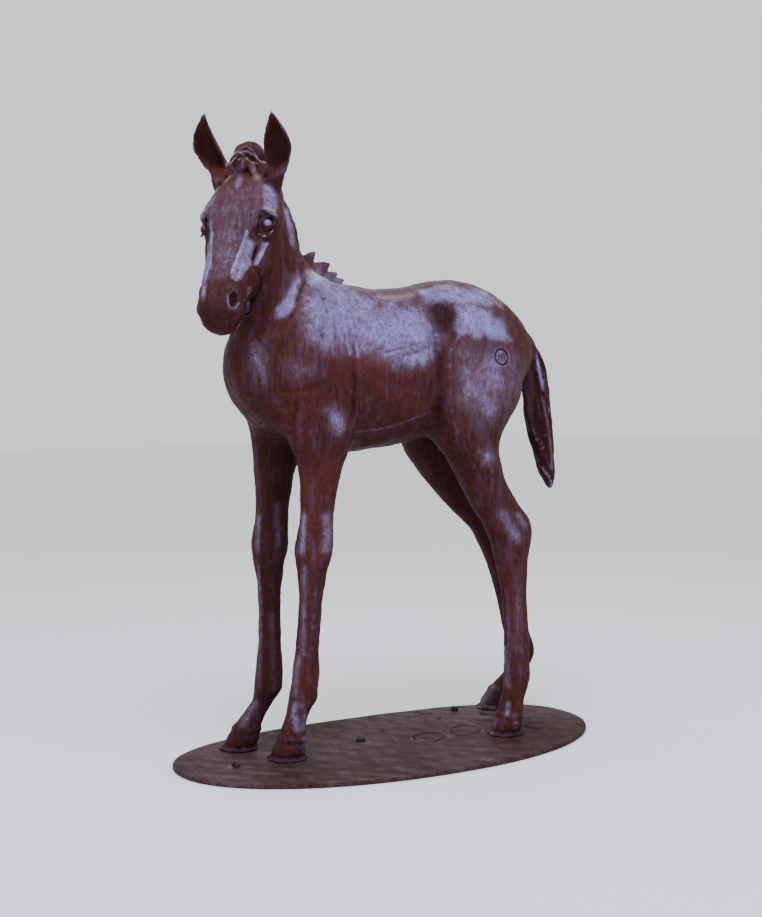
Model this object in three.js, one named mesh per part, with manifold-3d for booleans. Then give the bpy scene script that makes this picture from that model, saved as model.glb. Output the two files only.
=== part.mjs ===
// Cast iron foal standing on an oval plate. Millimetres, +Z up, foal facing -X.
// The foal is one casting. The plate it is welded to and the plate's three studs are pieces of their own.
import * as THREE from 'three';
import { mergeVertices } from 'three/addons/utils/BufferGeometryUtils.js';
import Module from 'manifold-3d';

const wasm = await Module();
wasm.setup();

// Driving sizes of the plate
const plateLength = 1010;
const plateWidth = 500;
const plateThickness = 9;
const plateEdgeRound = 1.5;
const plateCorners = { head: 2.2, tail: 2.3 };
const plateSway = { middle: 0, head: 20, tail: 45 };
const touchGap = 0.3;

// Driving sizes of the foal, whose own middle plane is y = 0
const foalPlace = [-5, 61.5, 0];
const soleHeight = plateThickness + touchGap;

// The head hangs from the poll: its own axes run down the face, out of the face and to the animal's left
const poll = new THREE.Vector3(-343, -19, 1231);
const headHeading = 35;
const faceSlope = 65;
const earLength = 132;

const degrees = Math.PI / 180;

// The animal's left for a part that is turned by a heading away from straight ahead
function leftOf(heading) {
  return new THREE.Vector3(Math.sin(heading * degrees), -Math.cos(heading * degrees), 0);
}

// Straight ahead for the same heading
function aheadOf(heading) {
  return new THREE.Vector3(-Math.cos(heading * degrees), -Math.sin(heading * degrees), 0);
}

const headLeft = leftOf(headHeading);
const headAhead = aheadOf(headHeading);
const faceDown = headAhead.clone().multiplyScalar(Math.cos(faceSlope * degrees));
faceDown.z = -Math.sin(faceSlope * degrees);
const faceOut = headAhead.clone().multiplyScalar(Math.sin(faceSlope * degrees));
faceOut.z = Math.cos(faceSlope * degrees);

// A point of the head: down the face from the poll, deep behind the face line, and to the animal's left
function headPoint(down, deep, side = 0) {
  const place = poll.clone().addScaledVector(faceDown, down).addScaledVector(faceOut, -deep);
  return place.addScaledVector(headLeft, side);
}

// One smooth value through four neighbouring stations
function smooth(a, b, c, d, t) {
  const slopeIn = (c - a) / 2;
  const slopeOut = (d - b) / 2;
  const cubic = 2 * b - 2 * c + slopeIn + slopeOut;
  const square = -3 * b + 3 * c - 2 * slopeIn - slopeOut;
  return ((cubic * t + square) * t + slopeIn) * t + b;
}

// Rows of numbers made finer, each column on its own smooth curve
function refine(rows, steps) {
  const finer = [];
  for (let i = 0; i < rows.length - 1; i += 1) {
    const before = rows[Math.max(i - 1, 0)];
    const after = rows[Math.min(i + 2, rows.length - 1)];
    for (let k = 0; k < steps; k += 1) {
      finer.push(rows[i].map((value, j) => smooth(before[j], value, rows[i + 1][j], after[j], k / steps)));
    }
  }
  finer.push(rows[rows.length - 1]);
  return finer;
}

// Faces of a skin through rings of equal length, with a fan over each end
function skin(rings) {
  const sides = rings[0].length;
  const points = rings.flat();
  const faces = [];
  for (let r = 0; r < rings.length - 1; r += 1) {
    for (let s = 0; s < sides; s += 1) {
      const a = r * sides + s;
      const b = r * sides + (s + 1) % sides;
      faces.push(a, b, a + sides, b, b + sides, a + sides);
    }
  }
  const lastFirst = (rings.length - 1) * sides;
  for (const [ring, first, outward] of [[rings[0], 0, false], [rings.at(-1), lastFirst, true]]) {
    const middle = ring.reduce((sum, p) => sum.add(p), new THREE.Vector3()).divideScalar(sides);
    points.push(middle);
    for (let s = 0; s < sides; s += 1) {
      const a = first + s;
      const b = first + (s + 1) % sides;
      faces.push(...(outward ? [a, b, points.length - 1] : [b, a, points.length - 1]));
    }
  }
  return solidOf(points, faces);
}

// A solid from points and faces, turned right side out
function solidOf(points, faces) {
  let volume = 0;
  for (let i = 0; i < faces.length; i += 3) {
    const [a, b, c] = [points[faces[i]], points[faces[i + 1]], points[faces[i + 2]]];
    volume += a.dot(b.clone().cross(c));
  }
  const triangles = volume > 0 ? faces : faces.slice().reverse();
  const mesh = new wasm.Mesh({
    numProp: 3,
    vertProperties: new Float32Array(points.flatMap((p) => p.toArray())),
    triVerts: new Uint32Array(triangles),
  });
  return new wasm.Manifold(mesh);
}

// A solid from a ready geometry
function solidFrom(geometry) {
  const bare = geometry.clone();
  bare.deleteAttribute('normal');
  bare.deleteAttribute('uv');
  const welded = mergeVertices(bare, 1e-3);
  const places = welded.getAttribute('position');
  const points = [];
  for (let i = 0; i < places.count; i += 1) {
    points.push(new THREE.Vector3().fromBufferAttribute(places, i));
  }
  const faces = [];
  for (let i = 0; i < welded.index.count; i += 3) {
    const face = [welded.index.getX(i), welded.index.getX(i + 1), welded.index.getX(i + 2)];
    if (new Set(face).size === 3) {
      faces.push(...face);
    }
  }
  return solidOf(points, faces);
}

function joined(solids) {
  return solids.reduce((whole, solid) => whole.add(solid));
}

// One section: an egg between two opposite points, half its width to each side, widest at a share of the way,
// with a corner power for its first end and one for its second
function section(row, sides) {
  const [x1, y1, z1, x2, y2, z2, half, heading, widest, cornerFrom, cornerTo = cornerFrom] = row;
  const from = new THREE.Vector3(x1, y1, z1);
  const span = new THREE.Vector3(x2, y2, z2).sub(from);
  const middle = from.clone().addScaledVector(span, widest);
  const left = leftOf(heading);
  const ring = [];
  for (let s = 0; s < sides; s += 1) {
    const angle = 2 * Math.PI * s / sides;
    const towardsEnd = Math.cos(angle) > 0;
    const power = 2 / (towardsEnd ? cornerTo : cornerFrom);
    const along = Math.sign(Math.cos(angle)) * Math.abs(Math.cos(angle)) ** power;
    const across = Math.sign(Math.sin(angle)) * Math.abs(Math.sin(angle)) ** power;
    const reach = towardsEnd ? 1 - widest : widest;
    ring.push(middle.clone().addScaledVector(span, along * reach).addScaledVector(left, across * half));
  }
  return ring;
}

function loft(rows, sides, steps) {
  return skin(refine(rows, steps).map((row) => section(row, sides)));
}

// Muscles and hollows of the barrel: place along, height, reach along and up, rise out to the side
const swells = [
  { at: [-225, 885], reach: [62, 95], rise: 11 },
  { at: [-150, 840], reach: [26, 95], rise: -7 },
  { at: [-290, 800], reach: [60, 50], rise: 9 },
  { at: [-10, 800], reach: [110, 90], rise: 6 },
  { at: [112, 930], reach: [48, 70], rise: -10 },
  { at: [205, 965], reach: [52, 40], rise: 14 },
  { at: [300, 900], reach: [60, 60], rise: 8 },
];

// How far a point of the barrel's skin is pushed out to its own side
function swellAt(x, z) {
  return swells.reduce((sum, { at, reach, rise }) => {
    const away = ((x - at[0]) / reach[0]) ** 2 + ((z - at[1]) / reach[1]) ** 2;
    return sum + rise * Math.exp(-away);
  }, 0);
}

// Barrel, from the breast to the buttocks: place, top, bottom, half width, widest share, corner
function barrel() {
  const sides = 28;
  const fullSide = 90;
  const stations = [
    [-366, 862, 806, 28, 0.5, 2], [-350, 898, 764, 66, 0.52, 2.3], [-315, 945, 722, 99, 0.55, 2.6],
    [-260, 985, 686, 118, 0.55, 2.8], [-190, 1004, 660, 125, 0.52, 2.7], [-110, 1010, 645, 129, 0.48, 2.3],
    [-30, 1002, 651, 133, 0.46, 2.15], [60, 1010, 664, 135, 0.46, 2.15], [130, 1026, 688, 133, 0.46, 2.15],
    [200, 1028, 710, 127, 0.46, 2.2], [270, 1005, 738, 115, 0.46, 2.2], [330, 964, 768, 97, 0.46, 2.1],
    [362, 924, 796, 72, 0.46, 2], [380, 888, 830, 36, 0.46, 2],
  ];
  const rows = stations.map(([x, top, bottom, half, widest, corner]) => [
    x, 0, top, x, 0, bottom, half, 0, widest, corner,
  ]);
  const rings = refine(rows, 2).map((row) => section(row, sides));
  for (const point of rings.flat()) {
    const sideShare = Math.max(-1, Math.min(1, point.y / fullSide));
    point.y += sideShare * swellAt(point.x, point.z);
  }
  return skin(rings);
}

// Neck, from deep in the shoulders up to the poll: crest, throat, half width, heading
function neck() {
  const stations = [
    [[-30, 0, 970], [-338, 0, 775], 114, 0],
    [[-112, 0, 1009], [-350, 0, 848], 104, 0],
    [[-176, 0, 1036], [-349, -2, 918], 84, 5],
    [[-214, 0, 1080], [-347, -12, 988], 68, 12],
    [[-236, -2, 1128], [-352, -26, 1042], 62, 22],
    [[-268, -8, 1178], [-364, -42, 1088], 60, 32],
    [[-308, -14, 1212], [-376, -50, 1125], 50, 35],
  ];
  const rows = stations.map(([crest, throat, half, heading]) => [...crest, ...throat, half, heading, 0.5, 2]);
  return loft(rows, 18, 2);
}

// Skull, down the face line: place, face and jaw behind the line, half width, widest share, corners
function skull() {
  const stations = [
    [-30, 28, 82, 36, 0.5, 2, 2], [-14, 10, 104, 53, 0.45, 2, 2], [10, 2, 122, 65, 0.4, 2.2, 2.2],
    [36, -3, 134, 72, 0.3, 2.4, 2.2], [58, -5, 142, 77, 0.26, 2.5, 2.2], [78, -5, 148, 84, 0.22, 2.6, 2.2],
    [95, -4, 152, 88, 0.2, 2.6, 2.1], [115, -3, 156, 84, 0.24, 2.2, 2.2], [138, -1, 160, 77, 0.3, 1.8, 2.4],
    [160, 0, 160, 73, 0.32, 1.6, 2.4], [185, 1, 150, 67, 0.34, 1.5, 2.3], [210, 1, 132, 58, 0.33, 1.6, 2.2],
    [232, 1, 112, 50, 0.3, 1.8, 2.2], [255, 0, 100, 46, 0.28, 2.1, 2.2], [278, 0, 93, 46, 0.25, 2.3, 2.3],
    [296, 2, 90, 48, 0.24, 2.4, 2.3], [314, 7, 89, 43, 0.36, 2.3, 2.3], [330, 17, 84, 37, 0.48, 2.2, 2.2],
    [342, 30, 76, 28, 0.5, 2.1, 2.1], [349, 42, 66, 14, 0.5, 2, 2],
  ];
  const rows = stations.map(([down, face, jaw, half, widest, cornerFace, cornerJaw]) => [
    ...headPoint(down, face).toArray(), ...headPoint(down, jaw).toArray(), half, headHeading, widest,
    cornerFace, cornerJaw,
  ]);
  return loft(rows, 22, 1);
}

// One leg: heights, centre line, reach from the middle plane, and radii fore-and-aft and to the side
function leg(levels, centres, aside, lengthwise, sideways) {
  const rows = levels.map((z, i) => [
    centres[i] - lengthwise[i], aside[i], z, centres[i] + lengthwise[i], aside[i], z,
    sideways[i], 0, 0.5, 2.1,
  ]);
  return loft(rows, 14, 1);
}

const foreLevels = [
  880, 800, 720, 660, 608, 555, 505, 470, 447, 422, 395, 340, 255, 190, 150, 127, 107, 82, 62, 42, 22,
  16, soleHeight,
];
const foreLengthwise = [
  84, 96, 87, 67, 47, 39, 37, 39.5, 41.5, 38, 31.5, 26, 25, 28.5, 31, 29.5, 24.5, 24.5, 28.5, 33, 36.5,
  37.5, 42,
];
const foreSideways = [
  36, 46, 48, 44, 40, 34, 31, 33, 35, 33, 26, 21, 19.5, 23, 26, 26, 22.5, 24.5, 28.5, 31.5, 33.5, 34,
  38,
];
const foreAside = [80, 80, 74, 70, 67, 65, 64];
const leftForeCentres = [
  -214, -208, -197, -189, -188, -192, -195, -199, -202, -203, -205, -208.5, -216, -221, -226, -231,
  -240, -249, -253, -259, -264, -266, -267,
];
const rightForeCentres = [
  -214, -210, -203, -212, -228, -233, -237, -240, -241.5, -242.5, -243, -242, -242, -243.5, -246, -250,
  -259, -280, -295, -304, -312, -315, -318,
];

const hindLevels = [
  950, 900, 850, 800, 750, 700, 660, 620, 580, 543, 515, 488, 465, 445, 420, 394, 350, 310, 260, 219,
  180, 150, 128, 108, 85, 62, 42, 22, 16, soleHeight,
];
const hindLengthwise = [
  66, 104, 124, 124, 118, 99, 84, 68, 61, 60, 60, 62, 58, 51, 45, 39, 33, 30, 30, 31, 33, 34, 33, 30.5,
  28, 29, 32, 35, 36, 40,
];
const leftHindLengthwise = [
  66, 101, 120, 119, 117, 95, 76, 61, 57, 58, 60, 62, 58, 51, 45, 39, 33, 30, 30, 30, 30, 29.5, 29,
  28.5, 28, 29, 32, 35, 36, 40,
];
const hindSideways = [
  28, 52, 66, 75, 77, 70, 62, 54, 46, 42, 38, 36, 36, 36, 33, 30, 25, 22, 21, 22, 25, 27.5, 27, 25, 25,
  28, 31, 32, 33, 35,
];
const hindAside = [
  50, 55, 60, 64, 68, 73, 77, 80, 84, 88, 90, 93, 95, 97, 99, 101, 105, 109, 113, 117, 120, 123,
];
const leftHindCentres = [
  258, 242, 226, 210, 197, 179, 177, 196, 212, 234, 251, 272, 280, 283, 284, 284.5, 286, 287.5, 288,
  287.5, 286, 284, 282, 279, 272, 266, 261, 256, 254, 252,
];
const rightHindCentres = [
  258, 248, 236, 222, 208, 193, 186, 196, 226, 261, 290, 321, 346, 359, 370, 380, 395, 408, 425, 438,
  454, 464, 466, 457, 440, 410, 394, 384, 381, 379,
];
const rightHindNarrower = 16;

// Reach of a leg from the middle plane at each level, the last value holding down to the sole
function reaches(levels, aside, side, narrower = 0) {
  return levels.map((z, i) => {
    const share = Math.min(i / (aside.length - 1), 1);
    return side * (aside[Math.min(i, aside.length - 1)] - narrower * share);
  });
}

function legs() {
  const rightHindReach = reaches(hindLevels, hindAside, 1, rightHindNarrower);
  return [
    leg(foreLevels, leftForeCentres, reaches(foreLevels, foreAside, -1), foreLengthwise, foreSideways),
    leg(foreLevels, rightForeCentres, reaches(foreLevels, foreAside, 1), foreLengthwise, foreSideways),
    leg(hindLevels, leftHindCentres, reaches(hindLevels, hindAside, -1), leftHindLengthwise, hindSideways),
    leg(hindLevels, rightHindCentres, rightHindReach, hindLengthwise, hindSideways),
  ];
}

// Tail of twisted locks: centre line, radius, and a section with lobes that turns as it goes down
function tail() {
  const lobes = 3;
  const lobeDepth = 0.14;
  const turnPerRing = 20 * degrees;
  const sides = 12;
  const stations = [
    [345, 0, 908, 20], [380, 0, 898, 23], [401, 0, 870, 25], [414, 0, 837, 28], [423, 0, 790, 29.5],
    [428, 0, 730, 30], [438, 0, 672, 27], [451, 0, 615, 22], [460, 0, 584, 17.5], [467, 0, 560, 11],
    [470, 0, 547, 4],
  ];
  const line = refine(stations, 2);
  const rings = line.map(([x, y, z, radius], i) => {
    const [before, after] = [line[Math.max(i - 1, 0)], line[Math.min(i + 1, line.length - 1)]];
    const along = new THREE.Vector3(after[0] - before[0], 0, after[2] - before[2]).normalize();
    const side = new THREE.Vector3(0, -1, 0);
    const out = side.clone().cross(along);
    const ring = [];
    for (let s = 0; s < sides; s += 1) {
      const angle = 2 * Math.PI * s / sides;
      const lobe = radius * (1 + lobeDepth * Math.cos(lobes * angle + turnPerRing * i));
      const place = new THREE.Vector3(x, y, z);
      place.addScaledVector(out, lobe * Math.cos(angle)).addScaledVector(side, lobe * Math.sin(angle));
      ring.push(place);
    }
    return ring;
  });
  return skin(rings);
}

// The ears, each held its own way: share of the length, half width, bulge behind, how open, offset outwards
const leftEar = [
  [-0.24, 14, 16, 0, -2], [0, 19, 20, 0, 6], [0.12, 25, 23, 0.5, 8.6], [0.26, 28.5, 25, 1, 13.5],
  [0.44, 34, 25, 1, 15], [0.6, 30, 22, 1, 13], [0.76, 20, 17, 1, 11], [0.9, 10, 10, 0.9, 9.5],
  [1, 2, 3, 0.3, 9.4],
];
const rightEar = [
  [-0.24, 15, 16, 0, -3], [0, 20, 20, 0, -3], [0.12, 23, 23, 0.5, -2], [0.26, 29, 25, 1, 6],
  [0.45, 31, 25, 1, 16], [0.62, 27, 22, 1, 20], [0.79, 19, 16, 1, 19], [0.94, 10, 9, 0.9, 14],
  [1.05, 2, 3, 0.3, 8],
];

// One ear: a leaf-shaped cup on a short stalk, open ahead. side is 1 on the animal's left
function ear(side, stations) {
  const root = headPoint(6, 22, side * 63);
  const lean = faceDown.clone().multiplyScalar(-0.76).addScaledVector(faceOut, 0.64);
  const along = lean.addScaledVector(headLeft, side * 0.04).normalize();
  const openHeading = headHeading - side * 8;
  const across = leftOf(openHeading);
  const ahead = across.clone().cross(along).normalize();
  const arcSteps = 6;
  const wall = 6;
  const rings = stations.map(([share, half, bulge, open, outward]) => {
    const middle = root.clone().addScaledVector(along, share * earLength);
    middle.addScaledVector(across, side * outward);
    const rim = Math.min(wall, half * 0.4);
    const ring = [];
    for (let i = 0; i <= arcSteps; i += 1) {
      const angle = Math.PI * i / arcSteps;
      const place = middle.clone().addScaledVector(across, half * Math.cos(angle));
      ring.push(place.addScaledVector(ahead, -bulge * Math.sin(angle)));
    }
    for (let i = arcSteps - 1; i > 0; i -= 1) {
      const angle = Math.PI * i / arcSteps;
      const place = middle.clone().addScaledVector(across, (half - rim * open) * Math.cos(angle));
      const hollow = -(bulge - rim) * open + bulge * 0.8 * (1 - open);
      ring.push(place.addScaledVector(ahead, hollow * Math.sin(angle)));
    }
    return ring;
  });
  return skin(rings);
}

// A ball stretched along the head's own axes
function headBall(down, deep, side, sizes) {
  const ball = new THREE.SphereGeometry(1, 10, 7);
  const place = headPoint(down, deep, side);
  const axes = new THREE.Matrix4().makeBasis(
    faceDown.clone().multiplyScalar(sizes[0]),
    faceOut.clone().multiplyScalar(sizes[1]),
    headLeft.clone().multiplyScalar(sizes[2]),
  );
  ball.applyMatrix4(axes.setPosition(place));
  return solidFrom(ball);
}

function cheek(side) {
  return headBall(138, 92, side * 40, [68, 56, 36]);
}

// Eyes in their sockets
function socket(side) {
  return headBall(118, 20, side * 84, [18, 18, 16]);
}

function eye(side) {
  return headBall(116.5, 29.6, side * 69, [15, 15, 15]);
}

function nostril(side) {
  return headBall(296, 8, side * 42, [15, 9, 11]);
}

function mouth() {
  const slot = new THREE.TorusGeometry(1, 0.08, 4, 24);
  const basis = new THREE.Matrix4().makeBasis(
    headLeft.clone().multiplyScalar(40),
    faceDown.clone().multiplyScalar(0.8).addScaledVector(faceOut, 0.6).multiplyScalar(46),
    faceDown.clone().multiplyScalar(-0.6).addScaledVector(faceOut, 0.8).multiplyScalar(30),
  );
  slot.applyMatrix4(basis.setPosition(headPoint(328, 58)));
  return solidFrom(slot);
}

// A pointed lock of hair from a root to a tip
function lock(root, tip, width, sides = 6) {
  const along = tip.clone().sub(root);
  const side = new THREE.Vector3(0, 0, 1).cross(along).normalize();
  const out = along.clone().cross(side).normalize();
  const rings = [[0, 1], [0.45, 0.8], [0.8, 0.42], [1, 0.08]].map(([share, size]) => {
    const ring = [];
    for (let s = 0; s < sides; s += 1) {
      const angle = 2 * Math.PI * s / sides;
      const place = root.clone().addScaledVector(along, share);
      place.addScaledVector(side, 0.6 * width * size * Math.cos(angle));
      ring.push(place.addScaledVector(out, width * size * Math.sin(angle)));
    }
    return ring;
  });
  return skin(rings);
}

// Short mane: locks lying down the crest one over the next, and pointed tufts swept back over the withers
function mane() {
  const crest = [
    [-320, -26, 1240], [-303, -18, 1220], [-276, -12, 1199], [-253, -8, 1176], [-235, -5, 1150],
    [-222, -3, 1122], [-215, -1, 1096], [-208, 0, 1070], [-198, 0, 1046],
  ];
  const tufts = [
    [[-207, 1036], [-161, 1077], 17], [[-184, 1026], [-125, 1053], 21], [[-156, 1014], [-107, 1034], 15],
    [[-134, 1006], [-90, 1020], 14],
  ];
  const lyingRise = 9;
  const lying = crest.slice(0, -1).map(([x, y, z], i) => {
    const [nextX, nextY, nextZ] = crest[i + 1];
    const root = new THREE.Vector3(x, y, z);
    const tip = new THREE.Vector3(nextX + lyingRise, nextY, nextZ + 2);
    return lock(root.addScaledVector(tip.clone().sub(root), -0.35), tip, 16);
  });
  const standing = tufts.map(([root, tip, width]) => {
    return lock(new THREE.Vector3(root[0], 0, root[1]), new THREE.Vector3(tip[0], 1, tip[1]), width);
  });
  return [...lying, ...standing];
}

function forelock() {
  return [
    headBall(-48, 9, 0, [26, 22, 33]),
    headBall(-22, 14, -6, [26, 20, 37]),
    headBall(-50, 32, 6, [24, 26, 26]),
    lock(headPoint(-44, 14, -8), headPoint(4, -4, -24), 14),
    lock(headPoint(-44, 14, 10), headPoint(6, -6, 24), 14),
  ];
}

function foal() {
  const body = joined([
    barrel(), neck(), skull(), ...legs(), tail(), ...mane(), ...forelock(),
    ear(1, leftEar), ear(-1, rightEar), cheek(1), cheek(-1),
  ]);
  const cuts = joined([socket(1), socket(-1), nostril(1), nostril(-1), mouth()]);
  return joined([body.subtract(cuts), eye(1), eye(-1)]);
}

// Outline of the plate: an oval a little fuller at the tail end, its middle line swaying to one side there
function plateOutline(inset) {
  const halfLength = plateLength / 2 - inset;
  const halfWidth = plateWidth / 2 - inset;
  const corners = 68;
  const points = [];
  for (let i = 0; i < corners; i += 1) {
    const angle = 2 * Math.PI * i / corners;
    const towardsTail = Math.cos(angle) > 0;
    const power = 2 / (towardsTail ? plateCorners.tail : plateCorners.head);
    const x = Math.sign(Math.cos(angle)) * Math.abs(Math.cos(angle)) ** power;
    const y = Math.sign(Math.sin(angle)) * Math.abs(Math.sin(angle)) ** power;
    const sway = plateSway.middle + (towardsTail ? plateSway.tail : plateSway.head) * x * x;
    points.push(new THREE.Vector2(halfLength * x, sway + halfWidth * y));
  }
  return points;
}

function plate() {
  const shape = new THREE.Shape(plateOutline(plateEdgeRound));
  const extruded = new THREE.ExtrudeGeometry(shape, {
    depth: plateThickness - 2 * plateEdgeRound,
    bevelEnabled: true,
    bevelThickness: plateEdgeRound,
    bevelSize: plateEdgeRound,
    bevelSegments: 1,
    steps: 1,
  });
  extruded.translate(0, 0, plateEdgeRound);
  return solidFrom(extruded);
}

// A stud end standing on the plate, with a domed top
function stud([x, y]) {
  const radius = 10;
  const height = 11;
  const profile = [
    [0, 0], [radius, 0], [radius * 0.94, height * 0.55], [radius * 0.6, height * 0.9], [0, height],
  ];
  const turned = new THREE.LatheGeometry(profile.map(([r, z]) => new THREE.Vector2(r, z)), 12);
  turned.rotateX(Math.PI / 2);
  turned.translate(x, y, plateThickness + touchGap);
  return solidFrom(turned);
}

const studPlaces = [[-390, -5], [-64, 49], [278, 189]];

// Waxed, rusted iron: red-brown with a bluish sheen
const foalIron = new THREE.MeshStandardMaterial({ color: 0x4e2a24, roughness: 0.38, metalness: 0.75 });
const plateIron = new THREE.MeshStandardMaterial({ color: 0x553a38, roughness: 0.5, metalness: 0.7 });
const studIron = new THREE.MeshStandardMaterial({ color: 0x3c2826, roughness: 0.45, metalness: 0.75 });

function meshOf(name, solid, material, place = [0, 0, 0]) {
  const { vertProperties, triVerts } = solid.getMesh();
  const geometry = new THREE.BufferGeometry();
  geometry.setAttribute('position', new THREE.BufferAttribute(vertProperties, 3));
  geometry.setIndex(new THREE.BufferAttribute(triVerts, 1));
  geometry.computeVertexNormals();
  const mesh = new THREE.Mesh(geometry, material);
  mesh.name = name;
  mesh.position.set(...place);
  return mesh;
}

const sculpture = new THREE.Group();
sculpture.name = 'cast_iron_foal_sculpture';
sculpture.add(meshOf('foal', foal(), foalIron, foalPlace));
sculpture.add(meshOf('base_plate', plate(), plateIron));
studPlaces.forEach((place, i) => {
  sculpture.add(meshOf(`plate_stud_${i + 1}`, stud(place), studIron));
});

export default sculpture;
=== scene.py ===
import math

import bmesh
import bpy
import numpy as np
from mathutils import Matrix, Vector
from mathutils.kdtree import KDTree


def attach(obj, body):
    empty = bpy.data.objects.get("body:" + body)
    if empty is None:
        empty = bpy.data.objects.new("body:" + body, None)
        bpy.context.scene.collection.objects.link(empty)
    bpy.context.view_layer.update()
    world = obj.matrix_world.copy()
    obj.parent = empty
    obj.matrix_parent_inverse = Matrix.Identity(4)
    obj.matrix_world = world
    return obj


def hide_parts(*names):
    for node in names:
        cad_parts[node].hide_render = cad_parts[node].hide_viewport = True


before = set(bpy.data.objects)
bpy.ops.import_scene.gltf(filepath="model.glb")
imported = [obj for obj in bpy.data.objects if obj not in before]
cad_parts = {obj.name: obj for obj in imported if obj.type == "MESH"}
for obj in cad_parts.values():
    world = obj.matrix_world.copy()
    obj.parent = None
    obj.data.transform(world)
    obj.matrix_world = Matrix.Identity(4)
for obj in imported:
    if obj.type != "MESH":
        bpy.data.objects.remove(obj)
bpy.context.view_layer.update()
scene = bpy.context.scene

# Camera
camera_data = bpy.data.cameras.new("camera")
camera_data.lens = 55.6
camera_data.sensor_width = 36
camera_data.dof.use_dof = False
camera = bpy.data.objects.new("camera", camera_data)
camera.location = (-1.6036, -2.6237, 0.7868)
camera.rotation_euler = (1.52059, 0, -0.53719)
scene.collection.objects.link(camera)
scene.camera = camera

# What the camera sees, in its own picture of 762 by 917 points
camera_place = np.array(camera.location)
picture_middle = (381.0, 458.5)
picture_reach = 1416.9
turn = np.array(camera.rotation_euler.to_matrix())
sight_right, sight_up, sight_ahead = turn[:, 0], turn[:, 1], -turn[:, 2]

# Driving sizes in metres
plate_length, plate_width, plate_thickness, plate_round = 1.010, 0.500, 0.009, 0.0015
plate_corners = (2.2, 2.3)
plate_sway = (0.020, 0.045)
foal_place = np.array([-0.005, 0.0615, 0])
sole_height = 0.0093
fine = 0.0021

poll = np.array([-0.343, -0.019, 1.231])
head_heading = math.radians(35)
face_slope = math.radians(65)
ear_length = 0.132


def left_of(heading):
    return np.stack([np.sin(heading), -np.cos(heading), 0 * heading], -1)


head_left = left_of(np.float64(head_heading))
head_ahead = np.array([-math.cos(head_heading), -math.sin(head_heading), 0])
face_down = head_ahead * math.cos(face_slope) - np.array([0, 0, math.sin(face_slope)])
face_out = head_ahead * math.sin(face_slope) + np.array([0, 0, math.cos(face_slope)])


def head_point(down, deep, side=0.0):
    """A point of the head: millimetres down the face, behind the face line and to the animal's left."""
    return poll + (face_down * down - face_out * deep + head_left * side) / 1000


def along(rows, share):
    """Rows of numbers at shares of the way, each column on its own smooth curve."""
    rows = np.asarray(rows, float)
    place = np.clip(share, 0, 1) * (len(rows) - 1)
    i = np.clip(np.floor(place).astype(int), 0, len(rows) - 2)
    t = (place - i)[:, None]
    a, b, c = rows[np.maximum(i - 1, 0)], rows[i], rows[i + 1]
    d = rows[np.minimum(i + 2, len(rows) - 1)]
    slope_in, slope_out = (c - a) / 2, (d - b) / 2
    bend = (2 * b - 2 * c + slope_in + slope_out) * t
    bend = (bend - 3 * b + 3 * c - 2 * slope_in - slope_out) * t
    return (bend + slope_in) * t + b


def egg(rows, angle):
    """Points of egg sections: two opposite points, half width, heading, widest share and corner powers."""
    start, span = rows[:, 0:3], rows[:, 3:6] - rows[:, 0:3]
    widest = rows[:, 8:9]
    cos, sin = np.cos(angle)[:, None], np.sin(angle)[:, None]
    to_end = cos > 0
    power = 2 / np.where(to_end, rows[:, -1:], rows[:, 9:10])
    lengthwise = np.sign(cos) * np.abs(cos) ** power * np.where(to_end, 1 - widest, widest)
    sideways = np.sign(sin) * np.abs(sin) ** power * rows[:, 6:7]
    return start + span * (widest + lengthwise) + left_of(np.radians(rows[:, 7])) * sideways


def skin(sides, rings, place):
    """A closed skin: a grid rolled into a tube by place(share, angle), seam welded and ends filled."""
    bm = bmesh.new()
    bmesh.ops.create_grid(bm, x_segments=sides, y_segments=rings, size=0.5)
    grid = np.array([v.co[:] for v in bm.verts])
    spots = place(grid[:, 1] + 0.5, 2 * math.pi * (grid[:, 0] + 0.5))
    for v, spot in zip(bm.verts, spots.tolist()):
        v.co = spot
    bmesh.ops.remove_doubles(bm, verts=bm.verts, dist=1e-6)
    bmesh.ops.holes_fill(bm, edges=[e for e in bm.edges if e.is_boundary])
    bmesh.ops.recalc_face_normals(bm, faces=bm.faces)
    return bm


def loft(rows, sides, rings):
    return skin(sides, rings, lambda share, angle: egg(along(rows, share), angle))


def joined(name, parts):
    """One object of several skins."""
    whole = bmesh.new()
    for bm in parts:
        piece = bpy.data.meshes.new("piece")
        bm.to_mesh(piece)
        bm.free()
        whole.from_mesh(piece)
        bpy.data.meshes.remove(piece)
    mesh = bpy.data.meshes.new(name)
    whole.to_mesh(mesh)
    whole.free()
    thing = bpy.data.objects.new(name, mesh)
    scene.collection.objects.link(thing)
    return thing


def applied(thing):
    """The object's modifiers made part of its mesh."""
    bpy.context.view_layer.update()
    seen = thing.evaluated_get(bpy.context.evaluated_depsgraph_get())
    mesh = bpy.data.meshes.new_from_object(seen)
    thing.modifiers.clear()
    old = thing.data
    thing.data = mesh
    bpy.data.meshes.remove(old)
    mesh.name = thing.name


def fused(thing, size):
    """Overlapping skins made one skin of even cells."""
    remesh = thing.modifiers.new("fuse", "REMESH")
    remesh.mode = "VOXEL"
    remesh.voxel_size = size
    remesh.adaptivity = 0
    applied(thing)


def points_of(mesh):
    spots = np.empty(len(mesh.vertices) * 3)
    mesh.vertices.foreach_get("co", spots)
    return spots.reshape(-1, 3)


def put_points(mesh, spots):
    mesh.vertices.foreach_set("co", spots.ravel())
    mesh.update()


def edges_of(mesh):
    pairs = np.empty(len(mesh.edges) * 2, dtype=np.int32)
    mesh.edges.foreach_get("vertices", pairs)
    return pairs.reshape(-1, 2)


def normals_of(mesh):
    normals = np.empty(len(mesh.vertices) * 3)
    mesh.vertex_normals.foreach_get("vector", normals)
    return normals.reshape(-1, 3)


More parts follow.
